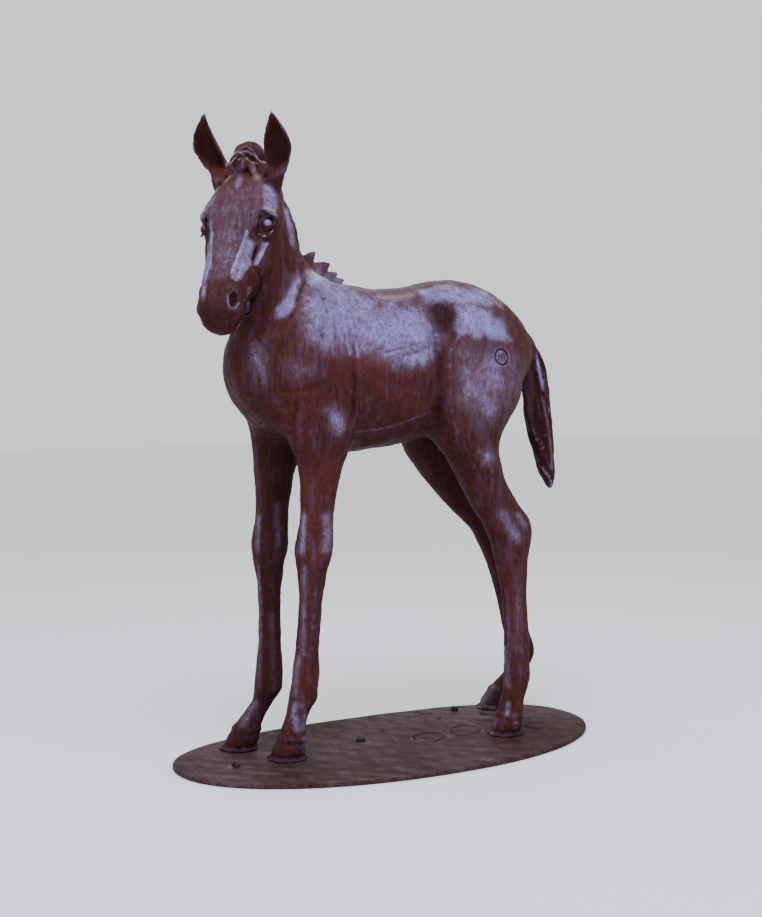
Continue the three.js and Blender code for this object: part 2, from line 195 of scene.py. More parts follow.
def evened(values, pairs, rounds, strength=0.5):
    """Each value moved towards the mean of its neighbours, round after round."""
    values = values.copy()
    count = len(values)
    flat = values.reshape(count, -1)
    degree = np.bincount(pairs.ravel(), minlength=count).astype(float)
    share = np.broadcast_to(np.asarray(strength, float), (count,)) / np.maximum(degree, 1)
    for _ in range(rounds):
        for k in range(flat.shape[1]):
            column = flat[:, k]
            total = np.bincount(pairs[:, 0], weights=column[pairs[:, 1]], minlength=count)
            total += np.bincount(pairs[:, 1], weights=column[pairs[:, 0]], minlength=count)
            column += share * (total - degree * column)
    return flat.reshape(values.shape)


def ramp(value, low, high):
    share = np.clip((value - low) / (high - low), 0, 1)
    return share * share * (3 - 2 * share)


# Barrel: place, top, bottom, half width, widest share, corner, all in millimetres
barrel_stations = [
    [-366, 862, 806, 28, 0.5, 2], [-350, 898, 764, 66, 0.52, 2.3], [-315, 945, 722, 99, 0.55, 2.6],
    [-260, 985, 686, 118, 0.55, 2.8], [-190, 1004, 660, 125, 0.52, 2.7],
    [-110, 1010, 645, 129, 0.48, 2.3], [-30, 1002, 651, 133, 0.46, 2.15],
    [60, 1010, 664, 135, 0.46, 2.15], [130, 1026, 688, 133, 0.46, 2.15],
    [200, 1028, 710, 127, 0.46, 2.2], [270, 1005, 738, 115, 0.46, 2.2], [330, 964, 768, 97, 0.46, 2.1],
    [362, 924, 796, 72, 0.46, 2], [380, 888, 830, 36, 0.46, 2],
]
# Muscles and hollows: place along and up, reach along and up, rise out to the side
swells = [
    (-225, 885, 62, 95, 11), (-150, 840, 26, 95, -7), (-290, 800, 60, 50, 9), (-10, 800, 110, 90, 6),
    (112, 930, 48, 70, -10), (205, 965, 52, 40, 14), (300, 900, 60, 60, 8),
]


def barrel():
    rows = []
    for x, top, low, half, widest, corner in barrel_stations:
        rows.append([x, 0, top, x, 0, low, half, 0, widest, corner])

    def place(share, angle):
        spots = egg(along(rows, share), angle)
        rise = sum(r * np.exp(-((spots[:, 0] - x) / rx) ** 2 - ((spots[:, 2] - z) / rz) ** 2)
                   for x, z, rx, rz, r in swells)
        spots[:, 1] += np.clip(spots[:, 1] / 90, -1, 1) * rise
        return spots / 1000

    return skin(72, 110, place)


def neck():
    stations = [
        [-30, 0, 970, -338, 0, 775, 114, 0], [-112, 0, 1009, -350, 0, 848, 104, 0],
        [-176, 0, 1036, -349, -2, 918, 84, 5], [-214, 0, 1080, -347, -12, 988, 68, 12],
        [-236, -2, 1128, -352, -26, 1042, 62, 22], [-268, -8, 1178, -364, -42, 1088, 60, 32],
        [-308, -14, 1212, -376, -50, 1125, 50, 35],
    ]
    rows = [row[:6] + [row[6], row[7], 0.5, 2] for row in stations]
    return skin(64, 70, lambda share, angle: egg(along(rows, share), angle) / 1000)


# Skull, down the face: place, face and jaw behind the line, half width, widest share, corners of face and jaw
skull_stations = [
    [-30, 28, 82, 36, 0.5, 2, 2], [-14, 10, 104, 53, 0.45, 2, 2], [10, 2, 122, 65, 0.4, 2.2, 2.2],
    [36, -3, 134, 72, 0.3, 2.4, 2.2], [58, -5, 142, 77, 0.26, 2.5, 2.2],
    [78, -5, 148, 84, 0.22, 2.6, 2.2], [95, -4, 152, 88, 0.2, 2.6, 2.1],
    [115, -3, 156, 84, 0.24, 2.2, 2.2], [138, -1, 160, 77, 0.3, 1.8, 2.4],
    [160, 0, 160, 73, 0.32, 1.6, 2.4], [185, 1, 150, 67, 0.34, 1.5, 2.3],
    [210, 1, 132, 58, 0.33, 1.6, 2.2], [232, 1, 112, 50, 0.3, 1.8, 2.2],
    [255, 0, 100, 46, 0.28, 2.1, 2.2], [278, 0, 93, 46, 0.25, 2.3, 2.3],
    [296, 2, 90, 48, 0.24, 2.4, 2.3], [314, 7, 89, 43, 0.36, 2.3, 2.3],
    [330, 17, 84, 37, 0.48, 2.2, 2.2], [342, 30, 76, 28, 0.5, 2.1, 2.1], [349, 42, 66, 14, 0.5, 2, 2],
]


def skull():
    rows = [[*head_point(down, face), *head_point(down, jaw), half / 1000, 35, widest, front, back]
            for down, face, jaw, half, widest, front, back in skull_stations]
    return loft(rows, 96, 130)


# Fore legs: level, half length, half width, place along of the left and of the right one
fore_stations = [
    [880, 84, 36, -214, -214], [800, 96, 46, -208, -210], [720, 87, 48, -197, -203],
    [660, 67, 44, -189, -212], [608, 47, 40, -188, -228], [555, 39, 34, -192, -233],
    [505, 37, 31, -195, -237], [470, 39.5, 33, -199, -240], [447, 41.5, 35, -202, -241.5],
    [422, 38, 33, -203, -242.5], [395, 31.5, 26, -205, -243], [340, 26, 21, -208.5, -242],
    [255, 25, 19.5, -216, -242], [190, 28.5, 23, -221, -243.5], [150, 31, 26, -226, -246],
    [127, 29.5, 26, -231, -250], [107, 24.5, 22.5, -240, -259], [82, 24.5, 24.5, -249, -280],
    [62, 28.5, 28.5, -253, -295], [42, 33, 31.5, -259, -304], [22, 36.5, 33.5, -264, -312],
    [16, 37.5, 34, -266, -315], [9.3, 42, 38, -267, -318],
]
# Hind legs: level, half length of the left and of the right one, half width, both places along
hind_stations = [
    [950, 66, 66, 28, 258, 258], [900, 101, 104, 52, 242, 248], [850, 120, 124, 66, 226, 236],
    [800, 119, 124, 75, 210, 222], [750, 117, 118, 77, 197, 208], [700, 95, 99, 70, 179, 193],
    [660, 76, 84, 62, 177, 186], [620, 61, 68, 54, 196, 196], [580, 57, 61, 46, 212, 226],
    [543, 58, 60, 42, 234, 261], [515, 60, 60, 38, 251, 290], [488, 62, 62, 36, 272, 321],
    [465, 58, 58, 36, 280, 346], [445, 51, 51, 36, 283, 359], [420, 45, 45, 33, 284, 370],
    [394, 39, 39, 30, 284.5, 380], [350, 33, 33, 25, 286, 395], [310, 30, 30, 22, 287.5, 408],
    [260, 30, 30, 21, 288, 425], [219, 30, 31, 22, 287.5, 438], [180, 30, 33, 25, 286, 454],
    [150, 29.5, 34, 27.5, 284, 464], [128, 29, 33, 27, 282, 466], [108, 28.5, 30.5, 25, 279, 457],
    [85, 28, 28, 25, 272, 440], [62, 29, 29, 28, 266, 410], [42, 32, 32, 31, 261, 394],
    [22, 35, 35, 32, 256, 384], [16, 36, 36, 33, 254, 381], [9.3, 40, 40, 35, 252, 379],
]
fore_levels, fore_lengthwise, fore_sideways, left_fore, right_fore = zip(*fore_stations)
(hind_levels, left_hind_lengthwise, right_hind_lengthwise, hind_sideways, left_hind,
 right_hind) = zip(*hind_stations)
# How far the legs stand from the middle at their first levels, then all the way down
fore_aside = [80, 80, 74, 70, 67, 65, 64]
hind_aside = [50, 55, 60, 64, 68, 73, 77, 80, 84, 88, 90, 93, 95, 97, 99, 101, 105, 109, 113, 117, 120, 123]
# The far hind leg stands nearer to the middle at its foot, by this much
far_hind_nearer = 16
leg_tables = [
    (fore_levels, left_fore, fore_aside, fore_lengthwise, fore_sideways, -1, 0),
    (fore_levels, right_fore, fore_aside, fore_lengthwise, fore_sideways, 1, 0),
    (hind_levels, left_hind, hind_aside, left_hind_lengthwise, hind_sideways, -1, 0),
    (hind_levels, right_hind, hind_aside, right_hind_lengthwise, hind_sideways, 1, far_hind_nearer),
]


def asides(levels, aside, narrower):
    """How far a leg stands from the middle at each of its levels."""
    last = len(aside) - 1
    return [aside[min(i, last)] - narrower * min(i / last, 1) for i in range(len(levels))]


def leg(levels, centres, aside, lengthwise, sideways, side, narrower):
    rows = []
    for i, (z, out) in enumerate(zip(levels, asides(levels, aside, narrower))):
        rows.append([centres[i] - lengthwise[i], side * out, z, centres[i] + lengthwise[i], side * out, z,
                     sideways[i], 0, 0.5, 2.1])
    # Evenly spaced down the leg
    drop = np.array([levels[0] - z for z in levels]) / (levels[0] - levels[-1])

    def place(share, angle):
        station = np.interp(share, drop, np.arange(len(levels))) / (len(levels) - 1)
        return egg(along(rows, station), angle) / 1000

    return skin(48, 190, place)


def tail():
    stations = [
        [345, 0, 908, 20], [380, 0, 898, 23], [401, 0, 870, 25], [414, 0, 837, 28], [423, 0, 790, 29.5],
        [428, 0, 730, 30], [438, 0, 672, 27], [451, 0, 615, 22], [460, 0, 584, 17.5], [467, 0, 560, 11],
        [470, 0, 547, 4],
    ]

    def place(share, angle):
        row = along(stations, share)
        ahead = (along(stations, share + 0.01) - along(stations, share - 0.01))[:, :3]
        step = ahead / np.linalg.norm(ahead, axis=1)[:, None]
        side = np.array([0.0, -1.0, 0.0])
        out = np.cross(side, step)
        twist = share * (len(stations) - 1) * 2 * math.radians(20)
        strands = np.abs(np.sin(3.5 * angle + 2.2 * twist + 0.6 * np.sin(9 * share)))
        threads = np.abs(np.sin(8 * angle + 3.1 * twist))
        knots = np.sin(37 * share + 2 * np.cos(angle)) * ramp(share, 0.45, 0.7)
        lobe = 0.95 + 0.12 * np.cos(3 * angle + twist) + 0.12 * strands + 0.03 * threads + 0.03 * knots
        lobe *= row[:, 3]
        outward = out * (lobe * np.cos(angle))[:, None]
        return (row[:, :3] + outward + side * (lobe * np.sin(angle))[:, None]) / 1000

    return skin(90, 240, place)


# Ears: share of the length, half width, bulge to the back, how open, offset of the leaf to the outside
left_ear_stations = [
    [-0.24, 14, 16, 0, -2], [0, 19, 20, 0, 6], [0.12, 25, 23, 0.5, 8.6], [0.26, 28.5, 25, 1, 13.5],
    [0.44, 34, 25, 1, 15], [0.6, 30, 22, 1, 13], [0.76, 20, 17, 1, 11], [0.9, 10, 10, 0.9, 9.5],
    [1, 2, 3, 0.3, 9.4],
]
right_ear_stations = [
    [-0.24, 15, 16, 0, -3], [0, 20, 20, 0, -3], [0.12, 23, 23, 0.5, -2], [0.26, 29, 25, 1, 6],
    [0.45, 31, 25, 1, 16], [0.62, 27, 22, 1, 20], [0.79, 19, 16, 1, 19], [0.94, 10, 9, 0.9, 14],
    [1.05, 2, 3, 0.3, 8],
]


def ear(side):
    """A leaf-shaped cup on a stalk, open ahead, its inner rim the thicker one."""
    root = head_point(6, 22, side * 63)
    lean = -0.76 * face_down + 0.64 * face_out + 0.04 * side * head_left
    lean /= np.linalg.norm(lean)
    across = left_of(np.float64(head_heading - side * math.radians(8)))
    ahead = np.cross(across, lean)
    ahead /= np.linalg.norm(ahead)
    stations = left_ear_stations if side > 0 else right_ear_stations
    rim_thick, rim_shift = (4.5, 1.5) if side > 0 else (6.5, 3.5)

    def place(share, angle):
        row = along(stations, share)
        half, bulge, opening = row[:, 1], row[:, 2], np.clip(row[:, 3], 0, 1)
        rim = np.minimum(rim_thick, half * 0.35)
        outer = np.sin(angle) > 0
        inside = opening * np.minimum(1, 3 * np.abs(np.sin(angle)))
        wide = np.where(outer, half, half - rim * inside)
        deep = np.where(outer, -bulge, (bulge - 5) * opening - bulge * 0.8 * (1 - opening))
        aside = row[:, 4] + np.where(outer, 0, rim_shift * inside)
        middle = root + lean * (row[:, :1] * ear_length) + across * side * aside[:, None] / 1000
        sideways = across * (wide * np.cos(angle))[:, None]
        return middle + (sideways + ahead * (deep * np.sin(angle))[:, None]) / 1000

    return skin(56, 80, place)


def head_ball(down, deep, side, sizes):
    """A ball stretched along the head's own axes."""
    bm = bmesh.new()
    bmesh.ops.create_uvsphere(bm, u_segments=40, v_segments=24, radius=1)
    middle = head_point(down, deep, side)
    for v in bm.verts:
        x, y, z = v.co
        v.co = middle + (face_down * x * sizes[0] + face_out * y * sizes[1] + head_left * z * sizes[2]) / 1000
    bmesh.ops.recalc_face_normals(bm, faces=bm.faces)
    return bm


def lock(line, width, flat=0.6, sides=20, rings=30, tip=0.08):
    """A tapering lock of hair along a smooth line of points in millimetres."""
    line = np.asarray(line, float)

    def place(share, angle):
        spot = along(line, share)
        step = along(line, np.minimum(share + 0.02, 1)) - along(line, np.maximum(share - 0.02, 0))
        step /= np.linalg.norm(step, axis=1)[:, None]
        side = np.cross([0, 0, 1.0], step)
        side /= np.linalg.norm(side, axis=1)[:, None]
        out = np.cross(step, side)
        size = width * np.interp(share, [0, 0.3, 0.7, 1], [0.85, 1, 0.65, tip])
        aside = side * (flat * size * np.cos(angle))[:, None]
        return (spot + aside + out * (size * np.sin(angle))[:, None]) / 1000

    return skin(sides, rings, place)


def head_line(points):
    return [head_point(*p) * 1000 for p in points]


def mane():
    """Locks down the crest, strands over its left side, and tufts swept back over the withers."""
    crest = [
        [-320, -26, 1240], [-303, -18, 1220], [-276, -12, 1199], [-253, -8, 1176], [-235, -5, 1150],
        [-222, -3, 1122], [-215, -1, 1096], [-208, 0, 1070], [-198, 0, 1046],
    ]
    tufts = [
        [-207, 1036, -161, 1077, 17], [-184, 1026, -125, 1053, 20], [-156, 1014, -107, 1034, 14],
        [-134, 1006, -90, 1020, 12],
    ]
    locks = []
    for (x, y, z), (next_x, next_y, next_z) in zip(crest, crest[1:]):
        locks.append(lock([[x - 6, y, z + 8], [x, y, z], [next_x + 9, next_y, next_z + 2]], 15))
        strand = [[x - 8, y - 6, z + 4], [x - 6, y - 15, z - 12], [next_x - 6, next_y - 19, next_z - 10]]
        locks.append(lock(strand, 9, 0.9))
    for x, z, tip_x, tip_z, width in tufts:
        line = [[x, 0, z], [(x + tip_x) / 2, 0, (z + tip_z) / 2 - 1], [tip_x, 1, tip_z]]
        locks.append(lock(line, width, 0.7))
        under = [[a - 4, b - 5, c - 5] for a, b, c in line[:2]] + [[tip_x - 11, -4, tip_z - 8]]
        locks.append(lock(under, width * 0.7))
    return locks


# Forelock: balls of the hood by place and sizes, then the rolls and curls by line, width and tip
hood_balls = [
    (-48, 9, 0, [26, 22, 33]), (-22, 14, -6, [26, 20, 37]), (-50, 32, 6, [24, 26, 26]),
    (-14, 22, 38, [19, 13, 20]), (-12, 18, -34, [17, 12, 18]),
]
hair_rolls = [
    ([[-22, -8, -28], [-38, -12, -14], [-47, -14, 4], [-36, -13, 24], [-20, -8, 36]], 4.4, 0.7),
    ([[-10, -10, -22], [-24, -16, -10], [-31, -18, 0], [-22, -17, 10], [-18, -14, 26]], 3.8, 0.7),
    ([[-30, 0, -24], [-14, -6, -26], [-2, -8, -20], [2, -6, -12]], 6, 0.4),
    ([[-24, -6, 14], [-12, -8, 10], [0, -6, 4]], 10, 0.4),
]


def forelock():
    """A swept-up knot of hair: a hood over two arched rolls, with curls falling on the forehead."""
    hood = [head_ball(*ball) for ball in hood_balls]
    return hood + [lock(head_line(line), width, 1, tip=tip) for line, width, tip in hair_rolls]


def cheek(side):
    return head_ball(138, 92, side * 40, [68, 56, 36])


def foal_form():
    """The whole animal as one smooth skin, soft where its parts run into each other."""
    legs = [leg(*table) for table in leg_tables]
    body = joined("foal", [barrel(), neck(), skull(), cheek(1), cheek(-1), *legs])
    fused(body, 0.004)
    mesh = body.data
    spots, pairs = points_of(mesh), edges_of(mesh)
    from_face = np.linalg.norm(spots - head_point(190, 30), axis=1)
    soft = ramp(spots[:, 2], 0.56, 0.68) * ramp(from_face, 0.12, 0.2)
    behind_cheek = 1 - ramp(np.linalg.norm(spots - head_point(110, 130), axis=1), 0.09, 0.15)
    soft = np.maximum(soft * (1 - ramp(spots[:, 2], 1.09, 1.16)), behind_cheek)
    spots = evened(spots, pairs, 90, 0.5 * soft)
    spots = evened(spots, pairs, 4, 0.4)
    put_points(mesh, spots)
    bm = bmesh.new()
    bm.from_mesh(mesh)
    bpy.data.objects.remove(body)
    bpy.data.meshes.remove(mesh)
    whole = joined("foal", [bm, tail(), ear(1), ear(-1), *mane(), *forelock()])
    fused(whole, fine)
    return whole


def seen(spots):
    """Where points stand in the camera's picture."""
    reach = spots - camera_place
    far = reach @ sight_ahead
    return np.stack([picture_middle[0] + picture_reach * (reach @ sight_right) / far,
                     picture_middle[1] - picture_reach * (reach @ sight_up) / far], -1)


class Surface:
    """The skin while it is worked, with its far side folded over onto the near one."""

    def __init__(self, spots, normals):
        self.spots, self.normals = spots, normals
        own = spots - foal_place
        rel = own - poll
        down = rel @ face_down
        self.head = (down > -0.09) & (down < 0.37) & (own[:, 2] > 0.9)
        self.head &= -rel @ face_out < np.interp(down, [0.16, 0.25, 0.35], [0.185, 0.125, 0.105])
        self.head &= (own[:, 0] < -0.22) & (np.abs(rel @ head_left) < 0.12)
        far_body = ~self.head & (own[:, 1] > 0)
        far_head = self.head & (rel @ head_left < 0)
        flip = np.array([1, -1, 1])
        folded, turned = own.copy(), normals.copy()
        folded[far_body] *= flip
        turned[far_body] *= flip
        folded[far_head] -= 2 * (rel[far_head] @ head_left)[:, None] * head_left
        turned[far_head] -= 2 * (normals[far_head] @ head_left)[:, None] * head_left
        self.own = own
        self.flat, self.straight = seen(folded + foal_place), seen(spots)
        self.facing = ramp(-turned @ sight_ahead, 0.0, 0.3)
        self.facing_straight = ramp(-normals @ sight_ahead, 0.0, 0.3)
        self.leg = ~self.head & (own[:, 2] < 0.6) & (own[:, 0] < 0.42)
        self.body = ~self.head & (own[:, 2] > 0.6) & (own[:, 0] < 0.405)
        self.tail = ~self.head & ~self.leg & ~self.body
        self.far = far_body | far_head


def away_from(line, flat):
    """Distance of flat points from a broken line."""
    nearest = np.full(len(flat), 1e9)
    for start, end in zip(line, line[1:]):
        step = end - start
        share = np.clip((flat - start) @ step / max(step @ step, 1e-9), 0, 1)
        nearest = np.minimum(nearest, np.linalg.norm(flat - start - share[:, None] * step, axis=1))
    return nearest


def curved(points):
    """A smooth line through points, in six steps from each to the next."""
    return along(points, np.linspace(0, 1, (len(points) - 1) * 6 + 1))


def near_line(flat, where, points, width):
    """One on a smooth line through the points, falling off softly over its half width."""
    line = curved(points)
    low, high = line.min(0) - 3 * width, line.max(0) + 3 * width
    spots = np.flatnonzero(where & np.all((flat > low) & (flat < high), axis=1))
    mask = np.zeros(len(flat))
    mask[spots] = np.exp(-(away_from(line, flat[spots]) / width) ** 2)
    return mask


def within(flat, where, corners, feather):
    """One inside an outline, falling off softly at its border."""
    ring = np.asarray(list(corners) + [corners[0]], float)
    low, high = ring.min(0) - 2 * feather, ring.max(0) + 2 * feather
    spots = np.flatnonzero(where & np.all((flat > low) & (flat < high), axis=1))
    inside = np.zeros(len(spots), bool)
    x, y = flat[spots].T
    for (x1, y1), (x2, y2) in zip(ring, ring[1:]):
        crossing = (y1 > y) != (y2 > y)
        inside ^= crossing & (x < (x2 - x1) * (y - y1) / (y2 - y1 if y2 != y1 else 1e-9) + x1)
    mask = np.zeros(len(flat))
    mask[spots] = ramp(away_from(ring, flat[spots]) * np.where(inside, 1, -1), -feather, feather)
    return mask


def stroke_mask(surface, where, points, width):
    return near_line(surface.flat, where, points, width) * surface.facing


def patch_mask(surface, where, corners, feather):
    return within(surface.flat, where, corners, feather) * surface.facing


# Strokes drawn in the picture: points, half width in picture points, rise in millimetres
head_strokes = [
    ([(249, 311.4), (241.8, 319.5), (235.5, 328)], 1.3, -5),
    ([(251, 313), (244.5, 321), (238, 329)], 1.3, 2),
    ([(247, 309), (239.5, 316.5), (233, 325)], 1.6, 1.2),
    ([(254.7, 268), (260, 277), (259.5, 289), (251, 302)], 1.8, -1.5),
    ([(252, 270), (257, 279), (255.5, 290), (248, 300)], 2.2, 1.6),
    ([(249, 288), (251, 291), (247, 297)], 1.2, 1.6), ([(257, 246), (255.5, 252), (253, 258)], 1.5, -2),
    ([(240, 212), (243, 222), (246, 228)], 2, -1.2),
    ([(254, 213), (262, 211), (271, 212), (276, 217)], 3, 2.2),
    ([(254, 220), (262, 215.5), (272, 216), (277, 222)], 1.2, -1.8),
    ([(228.5, 287), (225.8, 296), (227, 306), (232, 312), (239, 310)], 1.9, 1),
    ([(240.5, 304), (240.5, 296), (237, 289), (232, 286.5)], 1.7, 0.9),
    ([(222, 281), (219, 292), (219.5, 303)], 2.2, -1.6),
    ([(243, 285), (244, 294), (243, 303)], 1.6, -1.6),
    ([(216, 316), (224, 319), (233, 316)], 1.6, -1.2), ([(280, 203), (286, 225), (294, 250)], 2.2, 1.5),
    ([(274, 236), (277, 252), (270, 270)], 5, 1.2), ([(268, 250), (272, 270), (266, 285)], 3, -1),
    ([(250, 180), (249, 200), (244, 220)], 4, -0.8),
]
head_patches = [
    ([(246.5, 227.5), (241, 243), (232.5, 264), (228.5, 278), (235.5, 282), (241, 280), (246, 272),
      (252, 265.5), (252.5, 256), (257, 243), (250, 238)], 1.1, 1.9),
    ([(262, 241.5), (268.7, 243), (263.5, 254), (258.6, 266.7), (252, 265.8), (254.5, 258),
      (260, 250)], 1.1, 1.7),
    ([(244, 299), (250.5, 302), (248, 309.5), (243.5, 309)], 0.8, 1.5),
    ([(230, 291.5), (234.5, 291), (237.6, 295), (238, 302), (235.5, 306.5), (232, 307), (229.4, 303),
      (229, 297)], 1.3, -8),
]
body_strokes = [
    ([(354.2, 376), (354.4, 388), (354, 404), (352.8, 416)], 3, -1.9),
    ([(353.4, 362), (354.4, 380), (353, 420)], 3.8, -1.2),
    ([(345.5, 356), (346, 385), (345.5, 410), (343.5, 428)], 6.5, 3.8),
    ([(339.5, 306), (343.5, 330), (348, 354)], 2.6, -0.8),
    ([(348, 312), (351.5, 334), (354.5, 352)], 2.2, -0.8),
    ([(344, 310), (347.5, 332), (351.5, 352)], 2, 1.4),
    ([(336, 308), (339, 330), (343, 352)], 2.2, 1.6), ([(322, 292), (325, 315), (322, 345)], 3, -1.4),
    ([(386, 352), (398, 349.5), (412, 345.5), (428, 339.5)], 1.1, -1.1),
    ([(386, 355), (399, 353), (412, 349.5), (427, 344.5)], 1.8, 1.6),
    ([(356, 433), (375, 431.5), (398, 426.5), (430, 413)], 1.8, 1.1),
    ([(358, 438), (378, 436.5), (401, 431), (431, 419)], 2.4, -1),
    ([(434, 334), (440, 352), (442, 380), (440, 405), (438, 430)], 4.6, -5.6),
    ([(450, 350), (449.5, 380), (451, 405), (457, 432)], 3.2, 3),
    ([(430, 300), (441, 312), (446, 328)], 7.5, -5),
    ([(452.5, 302), (451, 318), (452.5, 334)], 3.2, -1.4),
    ([(458.5, 303), (457, 318), (459, 333)], 4, 3.2),
    ([(460, 300), (480, 310), (505, 333), (520, 345)], 5, 2.6),
    ([(259, 340), (263.5, 360), (269, 382)], 2.4, -2), ([(253, 344), (257, 362), (262, 382)], 3, 2),
    ([(284, 391), (303, 389.5), (324, 382)], 3.2, -1.8), ([(290, 372), (302, 374), (316, 372)], 8, 3.4),
    ([(296, 405), (293, 425), (296, 450)], 2.6, -1.8), ([(304, 408), (301, 430), (302, 455)], 3.5, 1.6),
    ([(262, 424), (258, 430), (255, 436)], 2, -2.6), ([(332, 412), (336, 424), (338, 434)], 7, 3.6),
    ([(470, 372), (474, 392), (482, 412)], 9, 2.2), ([(484, 452), (488, 460), (490, 470)], 6, 3.4),
    ([(466, 440), (474, 462), (488, 486)], 2.2, -1.8), ([(300, 262), (292, 285), (281, 315)], 3, 2.6),
    ([(309, 272), (300, 292), (290, 318)], 2.4, -2), ([(274, 314), (270, 332), (268, 350)], 4, -1.6),
]
comb_marks = 11


def sculpt(surface):
    """How far each point of the skin is raised, in metres."""
    rise = np.zeros(len(surface.spots))
    anywhere = np.ones(len(rise), bool)
    for points, width, lift in head_strokes:
        rise += lift * stroke_mask(surface, surface.head, points, width)
    for corners, feather, lift in head_patches:
        rise += lift * patch_mask(surface, surface.head, corners, feather)
    for points, width, lift in body_strokes:
        rise += lift * stroke_mask(surface, anywhere, points, width)
    near_side = surface.body & ~surface.far
    for k in range(comb_marks):
        share = k / (comb_marks - 1)
        x, y = 403 + 22 * share, 350.5 - 6.5 * share
        mark = [(x, y), (x + 1.2, y + 7 - 1.5 * share)]
        dent = 1.8 * near_line(surface.straight, near_side, mark, 0.6)
        rise -= dent * surface.facing_straight
    return rise / 1000


# Long marks on the legs: legs, turn from the back and its width in degrees, levels in and out, rise
leg_lines = [
    ("all", 112, 16, 150, 200, 400, 450, -2.6), ("all", 80, 22, 150, 200, 400, 450, 1.2),
    ("all", 25, 18, 150, 200, 400, 450, 1.4), ("all", 50, 14, 150, 200, 400, 450, -0.8),
    ("hind", 128, 20, 450, 500, 545, 595, -3.4), ("fore", 90, 25, 490, 520, 560, 600, -1.8),
]
# Round marks on the legs: legs, turn from the back and its width, level and its width, rise
leg_spots = [
    ("hind", 95, 25, 455, 26, 1.8), ("hind", 60, 20, 430, 14, -1.5), ("fore", 42, 16, 462, 26, 2),
    ("fore", 10, 24, 425, 9, -1.6), ("fore", 100, 20, 470, 30, -1.4), ("fore", 125, 18, 470, 26, 1.6),
    ("all", 165, 30, 133, 13, 2.4), ("all", 90, 30, 100, 9, -1.4),
]


def bell(value, middle, width):
    return np.exp(-((value - middle) / width) ** 2)


def leg_work(surface):
    """Tendons, knees, fetlocks, coronets, clefts and the weld bead round each hoof."""
    z = surface.own[:, 2] * 1000
    best = np.full(len(z), 9.0)
    rise = np.zeros(len(z))
    for levels, centres, aside, lengthwise, sideways, side, narrower in leg_tables:
        reach = [side * out for out in asides(levels, aside, narrower)]
        low = levels[::-1]
        dx = surface.own[:, 0] * 1000 - np.interp(z, low, centres[::-1])
        dy = surface.own[:, 1] * 1000 - np.interp(z, low, reach[::-1])
        dx /= np.interp(z, low, lengthwise[::-1])
        dy /= np.interp(z, low, sideways[::-1])
        away = np.hypot(dx, dy)
        turn_back = np.degrees(np.arctan2(np.abs(dy), -dx))
        legs = ("all", "hind" if levels is hind_levels else "fore")
        work = np.zeros(len(z))
        for which, turn, width, low_start, low_end, high_start, high_end, lift in leg_lines:
            if which in legs:
                reach_of_mark = ramp(z, low_start, low_end) * (1 - ramp(z, high_start, high_end))
                work += lift * bell(turn_back, turn, width) * reach_of_mark
        for which, turn, width, level, spread, lift in leg_spots:
            if which in legs:
                work += lift * bell(turn_back, turn, width) * bell(z, level, spread)
        ledge = 57 - 8 * turn_back / 180
        work += 1.6 * bell(z, ledge, 5) - 1.0 * bell(z, ledge + 10, 5) - 1.0 * bell(z, ledge - 8, 4)
        work += -3.2 * bell(turn_back, 180, 14) * (1 - ramp(z, 40, 56))
        work += 5.0 * (1 - ramp(z, 12, 18)) - 2.0 * bell(z, 21, 3)
        mine = (away < best) & (away < 2) & surface.leg
        best[mine] = away[mine]
        rise[mine] = work[mine]
    worn = ripple(surface.spots, 0.014, 8)
    foot = 1 - ramp(z, 14, 24)
    rise += surface.leg * (1.3 * foot * worn + 0.35 * worn * (1 - ramp(z, 60, 80)))
    return rise / 1000


# Seal on the left rump: its place in the picture, radius of groove and of lip, places of its strokes
seal_place = (501.5, 357)
seal_groove, seal_lip = 17.5, 22
seal_strokes = (498.6, 501.4, 504.2)


def seal_ring(surface):
    """A plain round groove with its lip, and three short strokes in it."""
    near_side = surface.body & ~surface.far
    flat = np.where(near_side[:, None], surface.straight, 1e6)
    middle = surface.spots[np.argmin(np.linalg.norm(flat - seal_place, axis=1) - 2 * surface.facing)]
    reach = np.linalg.norm(surface.spots - middle, axis=1) * 1000
    strokes = []
    for u in seal_strokes:
        strokes.append(near_line(surface.straight, near_side, [(u, 354.6), (u + 0.8, 359.4)], 0.7))
    cut = surface.facing_straight * np.max(strokes, axis=0)
    return bell(reach, seal_groove, 2.2), bell(reach, seal_lip, 1.6), cut


def sockets(surface):
    """Almond hollows for the eyes."""
    rise = np.zeros(len(surface.spots))
    for side in (1, -1):
        eye_middle, outward, back = eye_frame(side)
        rel = (surface.own - eye_middle) * 1000
        p, q, lift = rel @ back, rel @ face_down, rel @ outward
        bend = math.radians(-38)
        long_way = (p * math.cos(bend) - q * math.sin(bend) + 5) / 25
        short_way = (p * math.sin(bend) + q * math.cos(bend)) / 17.5
        hollow = 1 - ramp(np.hypot(long_way, short_way), 0.8, 1.12)
        rise -= hollow * np.clip(lift - 4, 0, 14) * (lift > -5) * (np.hypot(p, q) < 40)
    return rise / 1000


# Eyes: place down, behind and aside, and the ball's radius
eye_place = (116.5, 29.6, 69)
eye_radius = 15
# Lids: places back, down and out from the middle of the ball, and their half width
lids = [
    ([(-27, 21, 5), (-19, 2, 9), (-10, -12, 11), (4, -18, 9), (14, -14, 7), (19, -5, 5)], 3.2),
    ([(-27, 21, 5), (-15, 20, 7.5), (-1, 20, 8), (11, 12, 8), (18, 2, 6), (20, -6, 4)], 2.3),
]


def eye_frame(side):
    """Middle of an eye, and its ways out and back."""
    outward = 0.62 * face_out + 0.78 * side * head_left
    outward /= np.linalg.norm(outward)
    back = -0.78 * face_out + 0.62 * side * head_left
    down, deep, aside = eye_place
    return head_point(down, deep, side * aside), outward, back


